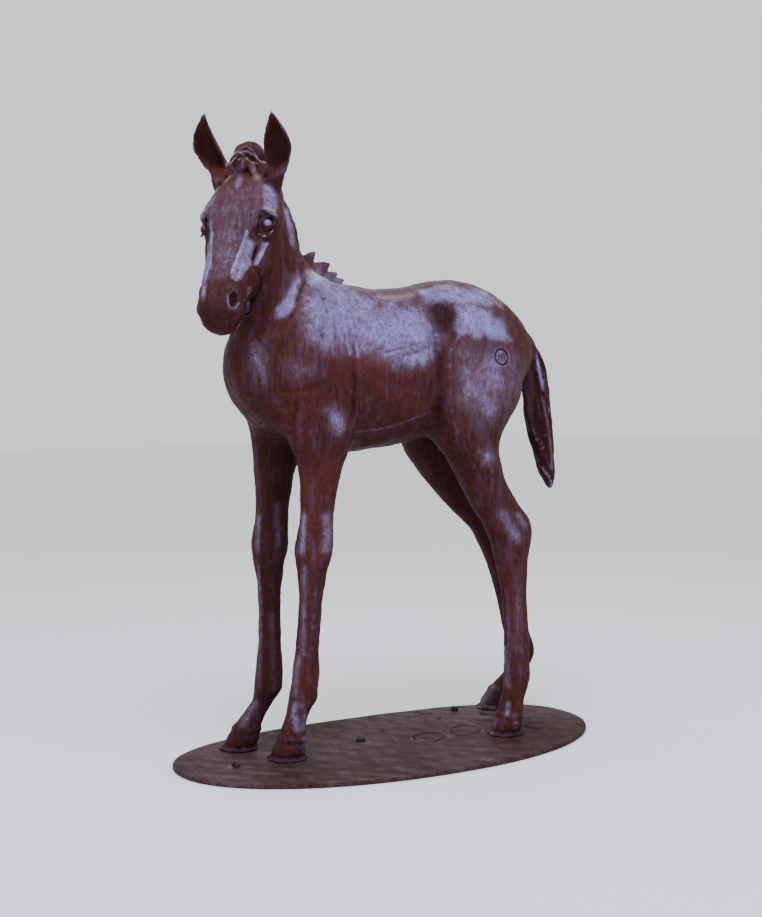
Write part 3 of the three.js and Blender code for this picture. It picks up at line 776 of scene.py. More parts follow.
def eye_parts(side):
    """Ball and lids of one eye."""
    middle, outward, back = eye_frame(side)
    down, deep, aside = eye_place
    parts = [head_ball(down, deep, side * aside, [eye_radius] * 3)]
    for line, width in lids:
        spots = [(middle + (back * p + face_down * q + outward * h) / 1000) * 1000 for p, q, h in line]
        parts.append(lock(spots, width, 1, sides=14, rings=40, tip=0.5))
    return parts


def ripple(spots, length, seed):
    """Smooth random heights between about minus one and one, of a given wave length in metres."""
    rng = np.random.default_rng(seed)
    total = np.zeros(len(spots))
    for _ in range(14):
        way = rng.normal(size=3)
        way /= np.linalg.norm(way)
        total += np.sin(spots @ way * (2 * math.pi / length * rng.uniform(0.7, 1.5)) + rng.uniform(0, 6.28))
    return total / 4


# Painted sheen standing in for the sky's lavender reflection, drawn in the picture: outline or line,
# softness, strength
painted_sheen_patches = [
    ([(298, 272), (301, 280), (297, 294), (292, 306), (286, 316), (275, 318), (276, 308), (285, 298),
      (292, 284)], 3.2, 0.74),
    ([(306, 276), (320, 270), (345, 279), (362, 292), (385, 300), (420, 304), (434, 320), (442, 336),
      (437, 350), (424, 362), (400, 366), (374, 357), (352, 349), (332, 350), (309, 344), (304, 330),
      (302, 300)], 11, 0.62),
    ([(392, 352), (410, 349), (430, 344), (433, 353), (422, 364), (404, 367)], 9, 0.8),
    ([(334, 318), (344, 314), (350, 332), (352, 348), (341, 347)], 6, 0.76),
    ([(352, 322), (362, 320), (372, 345), (368, 354), (358, 350)], 7, 0.68),
    ([(305, 272), (318, 269), (328, 277), (320, 286), (308, 288)], 5, 0.78),
    ([(318, 286), (328, 284), (334, 300), (328, 318), (318, 312)], 6, 0.62),
    ([(250, 344), (264, 342), (268, 360), (266, 384), (256, 380), (248, 362)], 9, 0.36),
    ([(288, 362), (300, 358), (314, 363), (314, 376), (300, 384), (290, 378)], 11, 0.3),
    ([(326, 412), (333, 407), (340, 412), (343, 424), (339, 433), (331, 425)], 8, 0.66),
    ([(456, 305), (470, 303), (490, 312), (508, 328), (514, 342), (499, 341), (476, 335), (456, 337)],
      5.5, 0.8),
    ([(458, 338), (500, 344), (520, 356), (519, 388), (502, 412), (480, 422), (458, 402)], 15, 0.42),
    ([(460, 362), (471, 362), (479, 380), (476, 400), (463, 396)], 10, 0.56),
    ([(478, 398), (490, 394), (500, 406), (493, 422), (480, 418)], 10, 0.54),
    ([(482, 452), (489, 451), (493, 457), (490, 464), (484, 463)], 7, 0.56),
    ([(416, 291), (450, 285), (482, 290), (502, 305), (484, 306), (450, 303), (424, 302)], 6, 0.72),
]
# Painted sheen along lines on the body
painted_sheen_lines = [
    ([(356, 432), (390, 427), (430, 412)], 1.2, 0.34), ([(342, 312), (346, 335), (350, 354)], 2, 0.7),
    ([(350, 315), (355, 338), (358, 356)], 2.5, 0.7), ([(298, 340), (303, 352), (316, 356)], 4, 0.2),
    ([(232, 380), (240, 405), (250, 425)], 3, 0.16),
]
# Painted sheen on the face
head_painted_sheen = [
    ([(221, 192), (230, 176), (240, 171), (243, 180), (234, 196), (226, 206), (214, 214)], 5, 0.55),
    ([(214, 214), (226, 182), (262, 178), (276, 200), (262, 214), (250, 240), (240, 275), (216, 282),
      (207, 262), (207, 228)], 9, 0.24),
    ([(216, 200), (236, 182), (242, 210), (238, 250), (226, 275), (214, 262), (213, 225)], 8, 0.3),
    ([(262, 184), (270, 183), (277, 194), (277.5, 208), (266, 211), (262, 200)], 4, 0.55),
    ([(246.5, 229), (242, 243), (234, 264), (229.5, 277), (235.5, 281), (241, 279), (246, 272),
      (251, 265), (251.5, 256), (255, 244), (250, 239)], 1.8, 0.5),
    ([(262, 242.5), (268, 243.5), (263, 254), (258, 266), (253, 265), (255.5, 258), (260, 250)],
      1.6, 0.5),
    ([(247, 287), (253, 286), (250, 297), (246, 297)], 2, 0.4),
    ([(244, 299), (250.5, 302), (248, 309.5)], 2, 0.45),
    ([(283, 208), (288, 206), (294, 228), (295, 250), (290, 245)], 2.5, 0.5),
    ([(203, 286), (209, 288), (208, 303), (202, 302)], 2.5, 0.7),
]
# Painted sheen along lines on the face
head_painted_sheen_lines = [
    ([(240, 200), (238, 230), (232, 262)], 3, 0.3), ([(228, 297), (228, 303), (230, 307)], 1, 0.45),
    ([(231, 309.4), (235, 308.4), (238.6, 303)], 1, 0.6),
    ([(249.5, 311), (244, 320), (237, 328)], 1.1, 0.75),
    ([(262, 214.5), (269, 213), (276, 215)], 1.5, 0.7),
    ([(230, 215), (228, 240), (222, 270)], 2.2, 0.3),
    ([(246.6, 231), (244.5, 240), (238, 256), (231.5, 272)], 1.7, 0.95),
    ([(243, 263), (241, 270), (237, 277)], 2, 0.8),
    ([(267, 243.5), (262, 254), (256.5, 264)], 1.5, 0.95), ([(246, 246), (249, 242)], 1.6, 0.6),
]
# Painted sheen on the far side of the face as the picture shows it
far_face_lines = [
    ([(211, 222), (211.3, 245), (210.5, 268)], 1.6, 0.7),
    ([(201, 212), (199.5, 222), (203, 228)], 2, 0.7), ([(207, 272), (204, 285), (203, 300)], 2.6, 0.5),
    ([(216, 196), (208, 206), (203, 212)], 2.2, 0.4),
]
# Painted sheen on the legs
leg_painted_sheen = [
    ([(259, 517), (258, 535), (258, 550)], 3.25, 0.4), ([(259, 567), (260, 620), (260, 690)], 2, 0.288),
    ([(277, 506), (277.5, 525), (278, 545)], 4.25, 0.4),
    ([(271, 615), (273, 650), (274, 690)], 3.75, 0.272),
    ([(304, 515), (303, 535), (302, 552)], 3.5, 0.44), ([(326, 517), (328, 532), (325, 548)], 6, 0.416),
    ([(304, 567), (304.5, 610), (303, 655)], 3, 0.32),
    ([(299, 660), (296, 680), (295, 695)], 3.75, 0.36),
    ([(296, 704), (294, 716), (297, 729)], 4.5, 0.48),
    ([(302, 706), (304, 718), (302, 730)], 3.25, 0.36), ([(305, 738), (306, 752)], 3.25, 0.36),
    ([(256, 704), (248, 716), (244, 724)], 4.75, 0.36),
    ([(504, 515), (511, 528), (518, 540)], 6.875, 0.4), ([(519, 516), (524, 524)], 4.5, 0.44),
    ([(517, 570), (518, 610), (516, 650)], 5.75, 0.224),
    ([(506, 648), (507, 668), (508, 686)], 3.5, 0.4), ([(508, 704), (507, 715)], 3, 0.48),
    ([(496, 720), (493, 729), (491, 738)], 3.5, 0.32), ([(515, 716), (517, 727)], 3.25, 0.28),
    ([(493, 688), (486, 697), (480, 706)], 4.5, 0.4), ([(484, 705), (494, 707)], 2.5, 0.4),
]
# Painted sheen on the tail
tail_painted_sheen = [
    ([(531, 341), (537, 360), (543, 389)], 1.8, 0.95),
    ([(542, 396), (549, 430), (552.5, 468)], 1.6, 0.5),
    ([(527, 352), (530, 380), (533, 420)], 1.2, 0.3),
]
glint_lines = [
    ([(306, 275), (313, 274), (320, 279)], 3.6, 0.36),
    ([(378, 296), (396, 297.5), (412, 295)], 2.6, 0.26),
    ([(422, 291), (440, 287.5), (456, 288)], 2.4, 0.14),
]
head_glint_lines = [
    ([(263.5, 222.5), (266.5, 222), (268.5, 225)], 2.6, 0.8),
    ([(265, 208), (269.5, 210.5), (274, 211)], 1.8, 0.5),
    ([(254.8, 230.6), (258.6, 234.6), (264.6, 236.6), (269.3, 234.6), (272.4, 230)], 0.7, 0.8),
    ([(254, 172), (257, 177)], 3, 0.25),
    ([(236.5, 156.5), (240, 152.6), (246.3, 150.8), (252, 153.5), (261, 161.6)], 0.6, 0.55),
    ([(241.5, 163), (244, 157.8), (247, 158.2), (251, 161.6), (258, 163)], 0.55, 0.45),
    ([(263, 161), (264.6, 162.4)], 1, 0.5), ([(228, 163), (230.5, 166)], 1.6, 0.6),
    ([(230.4, 293.4), (231, 292)], 0.9, 0.6), ([(200.5, 292), (202, 298)], 1.4, 0.6),
]
stain_lines = [
    ([(321, 290), (326, 310), (322, 335)], 4, 0.9), ([(336, 300), (334, 325), (338, 348)], 3, 0.6),
    ([(372, 364), (378, 368)], 3, 0.6), ([(399, 358), (402, 366)], 3.5, 0.7),
    ([(458, 312), (462, 328)], 3, 0.8), ([(472, 346), (485, 350)], 6, 0.5),
    ([(262, 352), (265, 366)], 2, 0.6), ([(470, 398), (474, 402)], 3, 0.6),
    ([(436, 300), (444, 318)], 7, 0.8), ([(492, 322), (510, 334)], 2.6, 0.5),
    ([(386, 351), (404, 348)], 1.4, 0.7),
]
# Places that stay dark: outlines in the picture, softness, strength
shade_patches = [
    ([(424, 304), (446, 300), (452, 318), (450, 336), (440, 340), (430, 325)], 5, 0.62),
    ([(436, 345), (447, 345), (449, 380), (448, 432), (436, 430), (434, 380)], 6, 0.5),
    ([(258, 285), (272, 285), (279, 300), (270, 322), (255, 330), (246, 322)], 6, 0.5),
    ([(348, 440), (400, 432), (436, 420), (432, 446), (352, 458)], 4, 0.35),
    ([(224, 345), (240, 335), (250, 360), (246, 390), (232, 392), (225, 372)], 7, 0.25),
]
head_shade_patches = [
    ([(202, 306), (215, 300), (227, 311), (240, 311), (246, 313), (238, 331), (224, 335), (207, 328),
      (200, 316)], 4, 0.5),
    ([(230, 292), (237, 292), (238.4, 300), (235, 306), (230.5, 304)], 1.6, 0.9),
    ([(250, 229), (256, 226), (258, 219), (264, 216.6), (274, 217), (277, 222), (273, 220),
      (264, 219.5), (260, 223), (258.6, 230), (263, 234.5), (269, 233.5), (272, 229), (274, 231),
      (270, 238), (263, 241), (255, 236)], 1.1, 0.75),
    ([(262, 241.5), (272, 237), (275, 228), (277, 233), (272, 241), (266, 243)], 2, 0.45),
    ([(252, 246), (256, 243), (256, 256), (252.5, 262)], 1.6, 0.4),
]
crown_shade_patches = [
    ([(204.5, 119), (211, 133), (218, 150), (225, 162), (217, 168), (205, 161), (196.5, 150),
      (195.5, 138), (199, 127)], 2.2, 0.85),
    ([(271, 117), (278, 125), (285, 135), (288.6, 149), (287, 158), (281, 165), (275, 170), (268, 165),
      (264.5, 155), (263.6, 146), (266.5, 132)], 2.2, 0.85),
    ([(241, 158), (247, 153), (255, 157), (260, 163), (252, 161), (247, 157.4), (243, 160)], 1.2, 0.95),
    ([(236, 158), (240, 155), (241, 161), (239, 167), (235, 166)], 1.6, 0.5),
    ([(264, 168), (272, 170), (282, 186), (279, 196), (270, 182)], 3, 0.5),
]
shade_lines = [
    ([(354, 372), (354.6, 386), (354.2, 402), (352.8, 416)], 2.4, 0.4),
    ([(453, 304), (451.6, 318), (453, 333)], 2.2, 0.5),
    ([(296, 408), (293.5, 428), (296, 452)], 2.4, 0.5), ([(430, 340), (436, 352), (438, 372)], 4, 0.4),
    ([(356, 440), (380, 437), (402, 431), (432, 419)], 2.4, 0.4),
    ([(309, 274), (300, 294), (290, 320)], 2.4, 0.35), ([(264, 424), (258, 430), (254, 438)], 2.4, 0.4),
    ([(284, 391), (303, 389.5), (324, 382)], 3.4, 0.35), ([(268, 345), (271, 362), (275, 385)], 4, 0.3),
    ([(460, 440), (466, 462), (480, 488)], 3.2, 0.3), ([(328, 415), (322, 440), (318, 460)], 4, 0.2),
    ([(444, 420), (452, 440), (464, 470)], 4, 0.35),
]


def painted(surface):
    """Painted sheen, painted glint, stain and painted shade of every point, each from nought to one."""
    spots, up, height = surface.spots, surface.normals[:, 2], surface.own[:, 2]
    wander = 1.7 * np.stack([ripple(spots, 0.045, 31), ripple(spots, 0.045, 32)], -1)
    loose = surface.flat + wander * (~surface.head)[:, None]
    everywhere = surface.body | surface.leg
    anywhere = np.ones(len(spots), bool)
    own_side = surface.facing_straight

    def most(start, rows, mask_of):
        for shape, soft, strength in rows:
            start = np.maximum(start, strength * mask_of(shape, soft))
        return start

    def loosely(shape, soft):
        core = within(loose, anywhere, shape, 1.5 * soft)
        return (0.7 * core + 0.3 * within(loose, anywhere, shape, 3 * soft)) * surface.facing

    def on_head(shape, soft):
        return patch_mask(surface, surface.head, shape, soft)

    def lines_on(where):
        return lambda line, width: stroke_mask(surface, where, line, width)

    def as_seen(flat, where):
        return lambda line, width: near_line(flat, where, line, width) * own_side

    # Painted sheen on surfaces facing up, fading out near the ground and at the head's height
    upward = 0.2 * ramp(up, 0.3, 0.95) * ramp(height, 0.3, 0.6) * (1 - ramp(height, 1.0, 1.06))
    painted_sheen = most(upward, painted_sheen_patches, loosely)
    painted_sheen = most(painted_sheen, painted_sheen_lines, lines_on(anywhere))
    painted_sheen = most(painted_sheen, head_painted_sheen, on_head)
    painted_sheen = most(painted_sheen, head_painted_sheen_lines, lines_on(surface.head))
    painted_sheen = most(painted_sheen, far_face_lines, as_seen(surface.straight, surface.head & surface.far))
    painted_sheen = most(painted_sheen, tail_painted_sheen, lines_on(surface.tail))
    painted_sheen = most(painted_sheen, leg_painted_sheen, as_seen(surface.straight, everywhere))
    nothing = np.zeros(len(spots))
    glint = most(nothing, glint_lines, lines_on(everywhere))
    glint = most(glint, head_glint_lines, as_seen(surface.flat, anywhere))
    stain = most(nothing, stain_lines, lines_on(surface.body))
    shade = most(nothing, shade_patches, loosely)
    shade = most(shade, shade_lines, lines_on(anywhere))
    shade = most(shade, head_shade_patches, on_head)
    for shape, soft, strength in crown_shade_patches:
        shade = np.maximum(shade, strength * (within(surface.straight, anywhere, shape, soft) * own_side))
    # Inner sides of the legs, undersides and feet
    inner = ramp(-surface.normals[:, 1] * np.sign(surface.own[:, 1]), 0.1, 0.8)
    inner *= 1 - ramp(height, 0.66, 0.74)
    shade = np.maximum(shade, 0.55 * inner * everywhere)
    shade = np.maximum(shade, 0.4 * ramp(-up, 0.15, 0.8))
    shade = np.maximum(shade, 0.35 * (1 - ramp(height, 0.02, 0.04))) * (1 - glint)
    return {"painted_sheen": painted_sheen, "glint": glint, "stain": stain, "shade": shade}


def relief_tone(spots, normals, pairs):
    """Hollows and edges of a skin, from how far each point lies under or over its surroundings."""
    close = np.einsum("ij,ij->i", evened(spots, pairs, 4) - spots, normals) * 1000
    wide = np.einsum("ij,ij->i", evened(spots, pairs, 30) - spots, normals) * 1000
    hollow = np.clip(ramp(close, 0.05, 0.45) * 0.5 + ramp(wide, 0.3, 1.8) * 0.45, 0, 1)
    edge = np.clip(ramp(-close, 0.06, 0.45) * 0.6 + ramp(-wide, 0.5, 2.4) * 0.2, 0, 1)
    return {"hollow": hollow, "edge": edge}


def store(mesh, name, values):
    layer = mesh.attributes.new(name, "FLOAT", "POINT")
    layer.data.foreach_set("value", np.asarray(values, np.float32))


# Triangles of the foal's skin without its eyes
foal_triangles = 186000


def shaped(foal):
    """The foal's skin worked with all its strokes; its hollows, edges and a finder of its points."""
    mesh = foal.data
    pairs = edges_of(mesh)
    spots = evened(points_of(mesh), pairs, 5, 0.45)
    spots += foal_place
    put_points(mesh, spots)
    surface = Surface(spots, normals_of(mesh))
    rise = sculpt(surface) + sockets(surface) + leg_work(surface)
    groove, lip, strokes = seal_ring(surface)
    rise += (-2.2 * groove + 0.9 * lip - 1.6 * strokes) / 1000
    rise += 0.0007 * ripple(spots, 0.05, 3) + 0.0003 * ripple(spots, 0.018, 4)
    spots = spots + surface.normals * rise[:, None]
    spots = evened(spots, pairs, 1, 0.3)
    spots[:, 2] = np.maximum(spots[:, 2], sole_height)
    put_points(mesh, spots)
    tones = relief_tone(spots, normals_of(mesh), pairs)
    tones["cut"] = np.maximum(0.95 * groove, 0.8 * strokes)
    finder = KDTree(len(spots))
    for i, spot in enumerate(spots.tolist()):
        finder.insert(spot, i)
    finder.balance()
    return tones, finder


def add_eyes(foal):
    """Balls and lids of both eyes joined to the foal's mesh."""
    whole = bmesh.new()
    whole.from_mesh(foal.data)
    for bm in [*eye_parts(1), *eye_parts(-1)]:
        for v in bm.verts:
            v.co.x += foal_place[0]
            v.co.y += foal_place[1]
        bmesh.ops.triangulate(bm, faces=bm.faces)
        part = bpy.data.meshes.new("part")
        bm.to_mesh(part)
        bm.free()
        whole.from_mesh(part)
    whole.to_mesh(foal.data)
    whole.free()


def eye_light(spots, side):
    """The light on an eye ball, up and ahead of its middle."""
    middle, outward, back = eye_frame(side)
    shine = middle + foal_place + (0.92 * outward - 0.14 * face_down - 0.3 * back) * 0.0155
    return 0.8 * np.exp(-(np.linalg.norm(spots - shine, axis=1) / 0.0086) ** 3)


def toned(foal, skin_tones, finder, skin_points):
    """Attributes for the finish, stored on every point of the foal."""
    spots = points_of(foal.data)
    nearest = np.array([finder.find(spot)[1] for spot in spots.tolist()])
    eye_points = np.arange(len(spots)) >= skin_points
    cut_in = skin_tones["cut"][nearest] * ~eye_points
    hollow = np.maximum(np.where(eye_points, 0.3, skin_tones["hollow"][nearest]), cut_in)
    edge = np.where(eye_points, 0, skin_tones["edge"][nearest])
    surface = Surface(spots, normals_of(foal.data))
    tones = {"hollow": hollow, "edge": edge, **painted(surface)}
    # Painted highlight on the tail's ridges, painted shade between its strands
    ridge = np.clip(1.6 * edge, 0, 1) * surface.tail
    tones["painted_sheen"] = np.maximum(tones["painted_sheen"], 0.7 * ridge)
    between = 0.8 * surface.tail * (1 - ridge) * (1 - tones["painted_sheen"])
    tones["shade"] = np.maximum(tones["shade"], between)
    feet = surface.leg & (surface.own[:, 2] < 0.075)
    tones["edge"] = edge * np.where(surface.head, 0.45, np.where(feet, 0.3, 1))
    # Painted highlight on each eye ball, with no painted shade under it
    for side in (1, -1):
        light = eye_light(spots, side) * eye_points
        tones["painted_sheen"] = np.maximum(tones["painted_sheen"], light)
        tones["shade"] *= 1 - light
    for name, values in tones.items():
        store(foal.data, name, values)


foal = foal_form()
skin_tones, finder = shaped(foal)
thin = foal.modifiers.new("thin", "DECIMATE")
thin.ratio = foal_triangles / (2 * len(foal.data.vertices))
applied(foal)
skin_points = len(foal.data.vertices)
add_eyes(foal)
for polygon in foal.data.polygons:
    polygon.use_smooth = True
toned(foal, skin_tones, finder, skin_points)


# Plate
def plate_point(share, angle):
    """From the middle of the top over the rounded edge to the middle of the underside."""
    edge = np.interp(share, [0, 0.9, 0.95, 1], [0, 1, 1, 0])
    towards_tail = np.cos(angle) > 0
    power = 2 / np.where(towards_tail, plate_corners[1], plate_corners[0])
    x = np.sign(np.cos(angle)) * np.abs(np.cos(angle)) ** power
    y = np.sign(np.sin(angle)) * np.abs(np.sin(angle)) ** power
    sway = np.where(towards_tail, plate_sway[1], plate_sway[0]) * x * x
    round_angle = ramp(share, 0.9, 0.95) * math.pi
    half_thick = plate_thickness / 2
    inset = plate_round * (1 - np.sin(round_angle))
    z = half_thick + half_thick * np.cos(round_angle)
    reach_x, reach_y = plate_length / 2 - inset, plate_width / 2 - inset
    return np.stack([edge * reach_x * x, edge * (sway + reach_y * y), z], -1)


def on_plate(u, v):
    """The point of the plate's top seen at a place of the picture."""
    way = sight_ahead * picture_reach + sight_right * (u - picture_middle[0])
    way += sight_up * (picture_middle[1] - v)
    return (camera_place + way * (plate_thickness - camera_place[2]) / way[2])[:2]


# Lines worked into the plate as the picture shows them: points, half width and rise in millimetres
plate_lines = [
    ([(451, 729), (456, 726.5), (466, 725.8), (476, 727), (480, 730), (476, 733.5), (464, 735.5),
      (454, 734), (450, 730)], 2.6, -1.5),
    ([(448, 729), (455, 725.2), (467, 724.2), (479, 726), (483.5, 730), (478, 735), (464, 737.5),
      (452, 735.5), (448, 730)], 3, 1.3),
    ([(458, 730), (466, 729), (474, 731), (466, 733)], 3, 1.4),
    ([(415, 736), (422, 733.6), (433, 733.2), (442, 735), (445, 738), (439, 741), (428, 742.5),
      (417, 741), (414, 737)], 2.6, -1.5),
    ([(412, 736), (421, 732), (434, 731.8), (445, 734), (449, 738), (441, 742.6), (428, 744.5),
      (415, 742.5), (411, 738)], 3, 1.2),
    ([(420, 738), (430, 736.8), (438, 738.5), (429, 740)], 2.6, 1.2),
    ([(407, 718), (415, 715), (428, 714.4), (440, 717), (436, 721), (424, 722.5), (411, 721.5)],
      2.6, -1.2),
    ([(404, 718), (414, 713.6), (429, 713), (443, 716.5), (438, 722.5), (424, 724)], 2.6, 0.9),
    ([(372, 731), (388, 728), (402, 727), (417, 728)], 2.2, 1.1),
    ([(374, 733), (390, 730), (404, 729), (416, 730)], 2.2, -1.2),
    ([(388, 726), (398, 723.6), (408, 723.4)], 2, 1),
    ([(520, 715.7), (527, 717.6), (533, 719.3)], 2.4, 1.6),
    ([(525, 722.4), (534, 722), (543, 722.4)], 2.2, -1.2),
    ([(524, 726.5), (536, 728.5), (549, 727)], 2.4, -1.2),
    ([(524, 724.8), (536, 726.6), (550, 725)], 2.2, 1),
    ([(330, 733), (338, 731.5), (346, 731)], 2.4, 1),
    ([(316, 742), (330, 738), (345, 735.5)], 2.4, -0.9),
    ([(376, 724), (386, 721.5), (396, 720.5)], 2.2, 0.8),
    ([(345, 753), (362, 749), (380, 747)], 2.4, -0.7), ([(396, 736), (402, 735)], 4, 0.9),
    ([(226, 772), (240, 777), (256, 780)], 2, -0.6), ([(290, 768), (300, 772), (312, 771)], 3, 0.8),
    ([(330, 744), (338, 749), (350, 751)], 3, -0.8),
    ([(440, 705), (452, 704.5), (466, 703.5)], 2.2, 0.7),
]
# Gouge beside the hind hoof and small lumps: place in the picture, radius and rise in millimetres
plate_lumps = [
    (484, 713.5, 9, -4.5), (490, 716.5, 6, 2.5), (478, 710.5, 6, 2), (369, 743, 8, 5),
    (362, 744.5, 5, 3), (231, 767.5, 6, 3), (241, 768, 5, 2.5), (340, 737, 4, 1.5), (347, 742, 4, 1.5),
    (297, 783, 4, 1.2),
]


def plate_relief(spots):
    """Hoof prints, scrapes and lumps on the top, in metres, with the shallow waviness of the cast plate."""
    flat = spots[:, :2] * 1000
    top = (spots[:, 2] > plate_thickness - 0.0005) & (np.abs(spots[:, 0]) < 0.49)
    rise = np.zeros(len(spots))
    loose = flat + 1.8 * np.stack([ripple(spots, 0.04, 11), ripple(spots, 0.04, 12)], -1)
    worn = np.clip(0.9 + 0.4 * ripple(spots, 0.06, 13), 0.4, 1.3)
    for points, width, lift in plate_lines:
        rise += 1.15 * lift * worn * near_line(loose, top, [on_plate(u, v) * 1000 for u, v in points], width)
    for u, v, radius, lift in plate_lumps:
        rise += lift * top * np.exp(-(np.linalg.norm(flat - on_plate(u, v) * 1000, axis=1) / radius) ** 2)
    edge_free = ramp(0.5 - np.abs(spots[:, 0]), 0, 0.02)
    uneven = 0.5 + 0.5 * ripple(spots, 0.16, 15)
    rise += top * edge_free * (0.3 * ripple(spots, 0.13, 5) + 0.1 * uneven * ripple(spots, 0.031, 6))
    return rise / 1000


plate_bm = skin(560, 150, plate_point)
plate_mesh = bpy.data.meshes.new("base_plate_fine")
plate_bm.to_mesh(plate_mesh)
plate_bm.free()
spots = points_of(plate_mesh)
plate_rise = plate_relief(spots)
spots[:, 2] += plate_rise
put_points(plate_mesh, spots)
store(plate_mesh, "hollow", 0.7 * ramp(-plate_rise * 1000, 0.35, 1.5))
store(plate_mesh, "edge", ramp(plate_rise * 1000, 0.3, 1.4))
# Painted sheen over the plate, uneven in strength
store(plate_mesh, "painted_sheen", 0.3 + 0.12 * ripple(spots, 0.35, 9) + 0.07 * ripple(spots, 0.05, 10))
plate = bpy.data.objects.new("base_plate_fine", plate_mesh)
scene.collection.objects.link(plate)


def stud(number, x, y):
    """A domed stud end with a worn, lumpy head."""
    profile = [[0, 0], [9.6, 0.4], [9.9, 2], [9.3, 6], [7.6, 8.6], [4.6, 10.4], [0, 10.9]]

    def place(share, angle):
        row = along(profile, share)
        radius = row[:, 0] * (0.96 + 0.04 * np.cos(6 * angle + number))
        height = row[:, 1] + plate_thickness * 1000 + 0.3
        return np.stack([x + radius * np.cos(angle), y + radius * np.sin(angle), height], -1) / 1000

    bm = skin(48, 40, place)
    mesh = bpy.data.meshes.new(f"stud_{number}")
    bm.to_mesh(mesh)
    bm.free()
    spots = points_of(mesh)
    worn = ripple(spots, 0.012, 20 + number) * ramp(spots[:, 2], 0.0105, 0.014)
    spots[:, 2] -= 0.0005 * (1 + worn) * (spots[:, 2] > 0.0105)
    put_points(mesh, spots)
    store(mesh, "hollow", 0.6 * ramp(-worn, 0, 1))
    store(mesh, "edge", 0.7 * ramp(worn, 0, 1))
    # Painted sheen, even over the stud
    store(mesh, "painted_sheen", np.full(len(spots), 0.2))
    thing = bpy.data.objects.new(f"stud_{number}", mesh)
    scene.collection.objects.link(thing)
    return thing


studs = [stud(k + 1, *place) for k, place in enumerate([(-390, -5), (-64, 49), (278, 189)])]


# Materials
def node(tree, kind, links=None, **settings):
    """A node with its settings, its sockets given a value or linked."""
    made = tree.nodes.new("ShaderNode" + kind)
    for name, value in settings.items():
        setattr(made, name, value)
    for name, value in (links or {}).items():
        if isinstance(value, bpy.types.NodeSocket):
            tree.links.new(value, made.inputs[name])
        else:
            made.inputs[name].default_value = value
    return made


def stretched(tree, source, low, high, low_out=0.0, high_out=1.0):
    """A value spread from one range to another, smooth and clamped."""
    return node(tree, "MapRange", {"Value": source, "From Min": low, "From Max": high, "To Min": low_out,
                                   "To Max": high_out}, interpolation_type="SMOOTHSTEP").outputs["Result"]


def sums(tree, how, first, second):
    return node(tree, "Math", {0: first, 1: second}, operation=how, use_clamp=True).outputs[0]


def times(tree, value, factor):
    return node(tree, "Math", {0: value, 1: factor}, operation="MULTIPLY").outputs[0]


def blended(tree, share, first, second):
    """Two colours mixed by a share."""
    made = tree.nodes.new("ShaderNodeMix")
    made.data_type = "RGBA"
    for place, value in ((0, share), (6, first), (7, second)):
        if isinstance(value, bpy.types.NodeSocket):
            tree.links.new(value, made.inputs[place])
        elif place:
            made.inputs[place].default_value = (*value, 1)
        else:
            made.inputs[place].default_value = value
    return made.outputs[2]


def noise(tree, where, scale, detail=5.0, rough=0.6):
    links = {"Vector": where, "Scale": scale, "Detail": detail, "Roughness": rough}
    return node(tree, "TexNoise", links).outputs["Fac"]


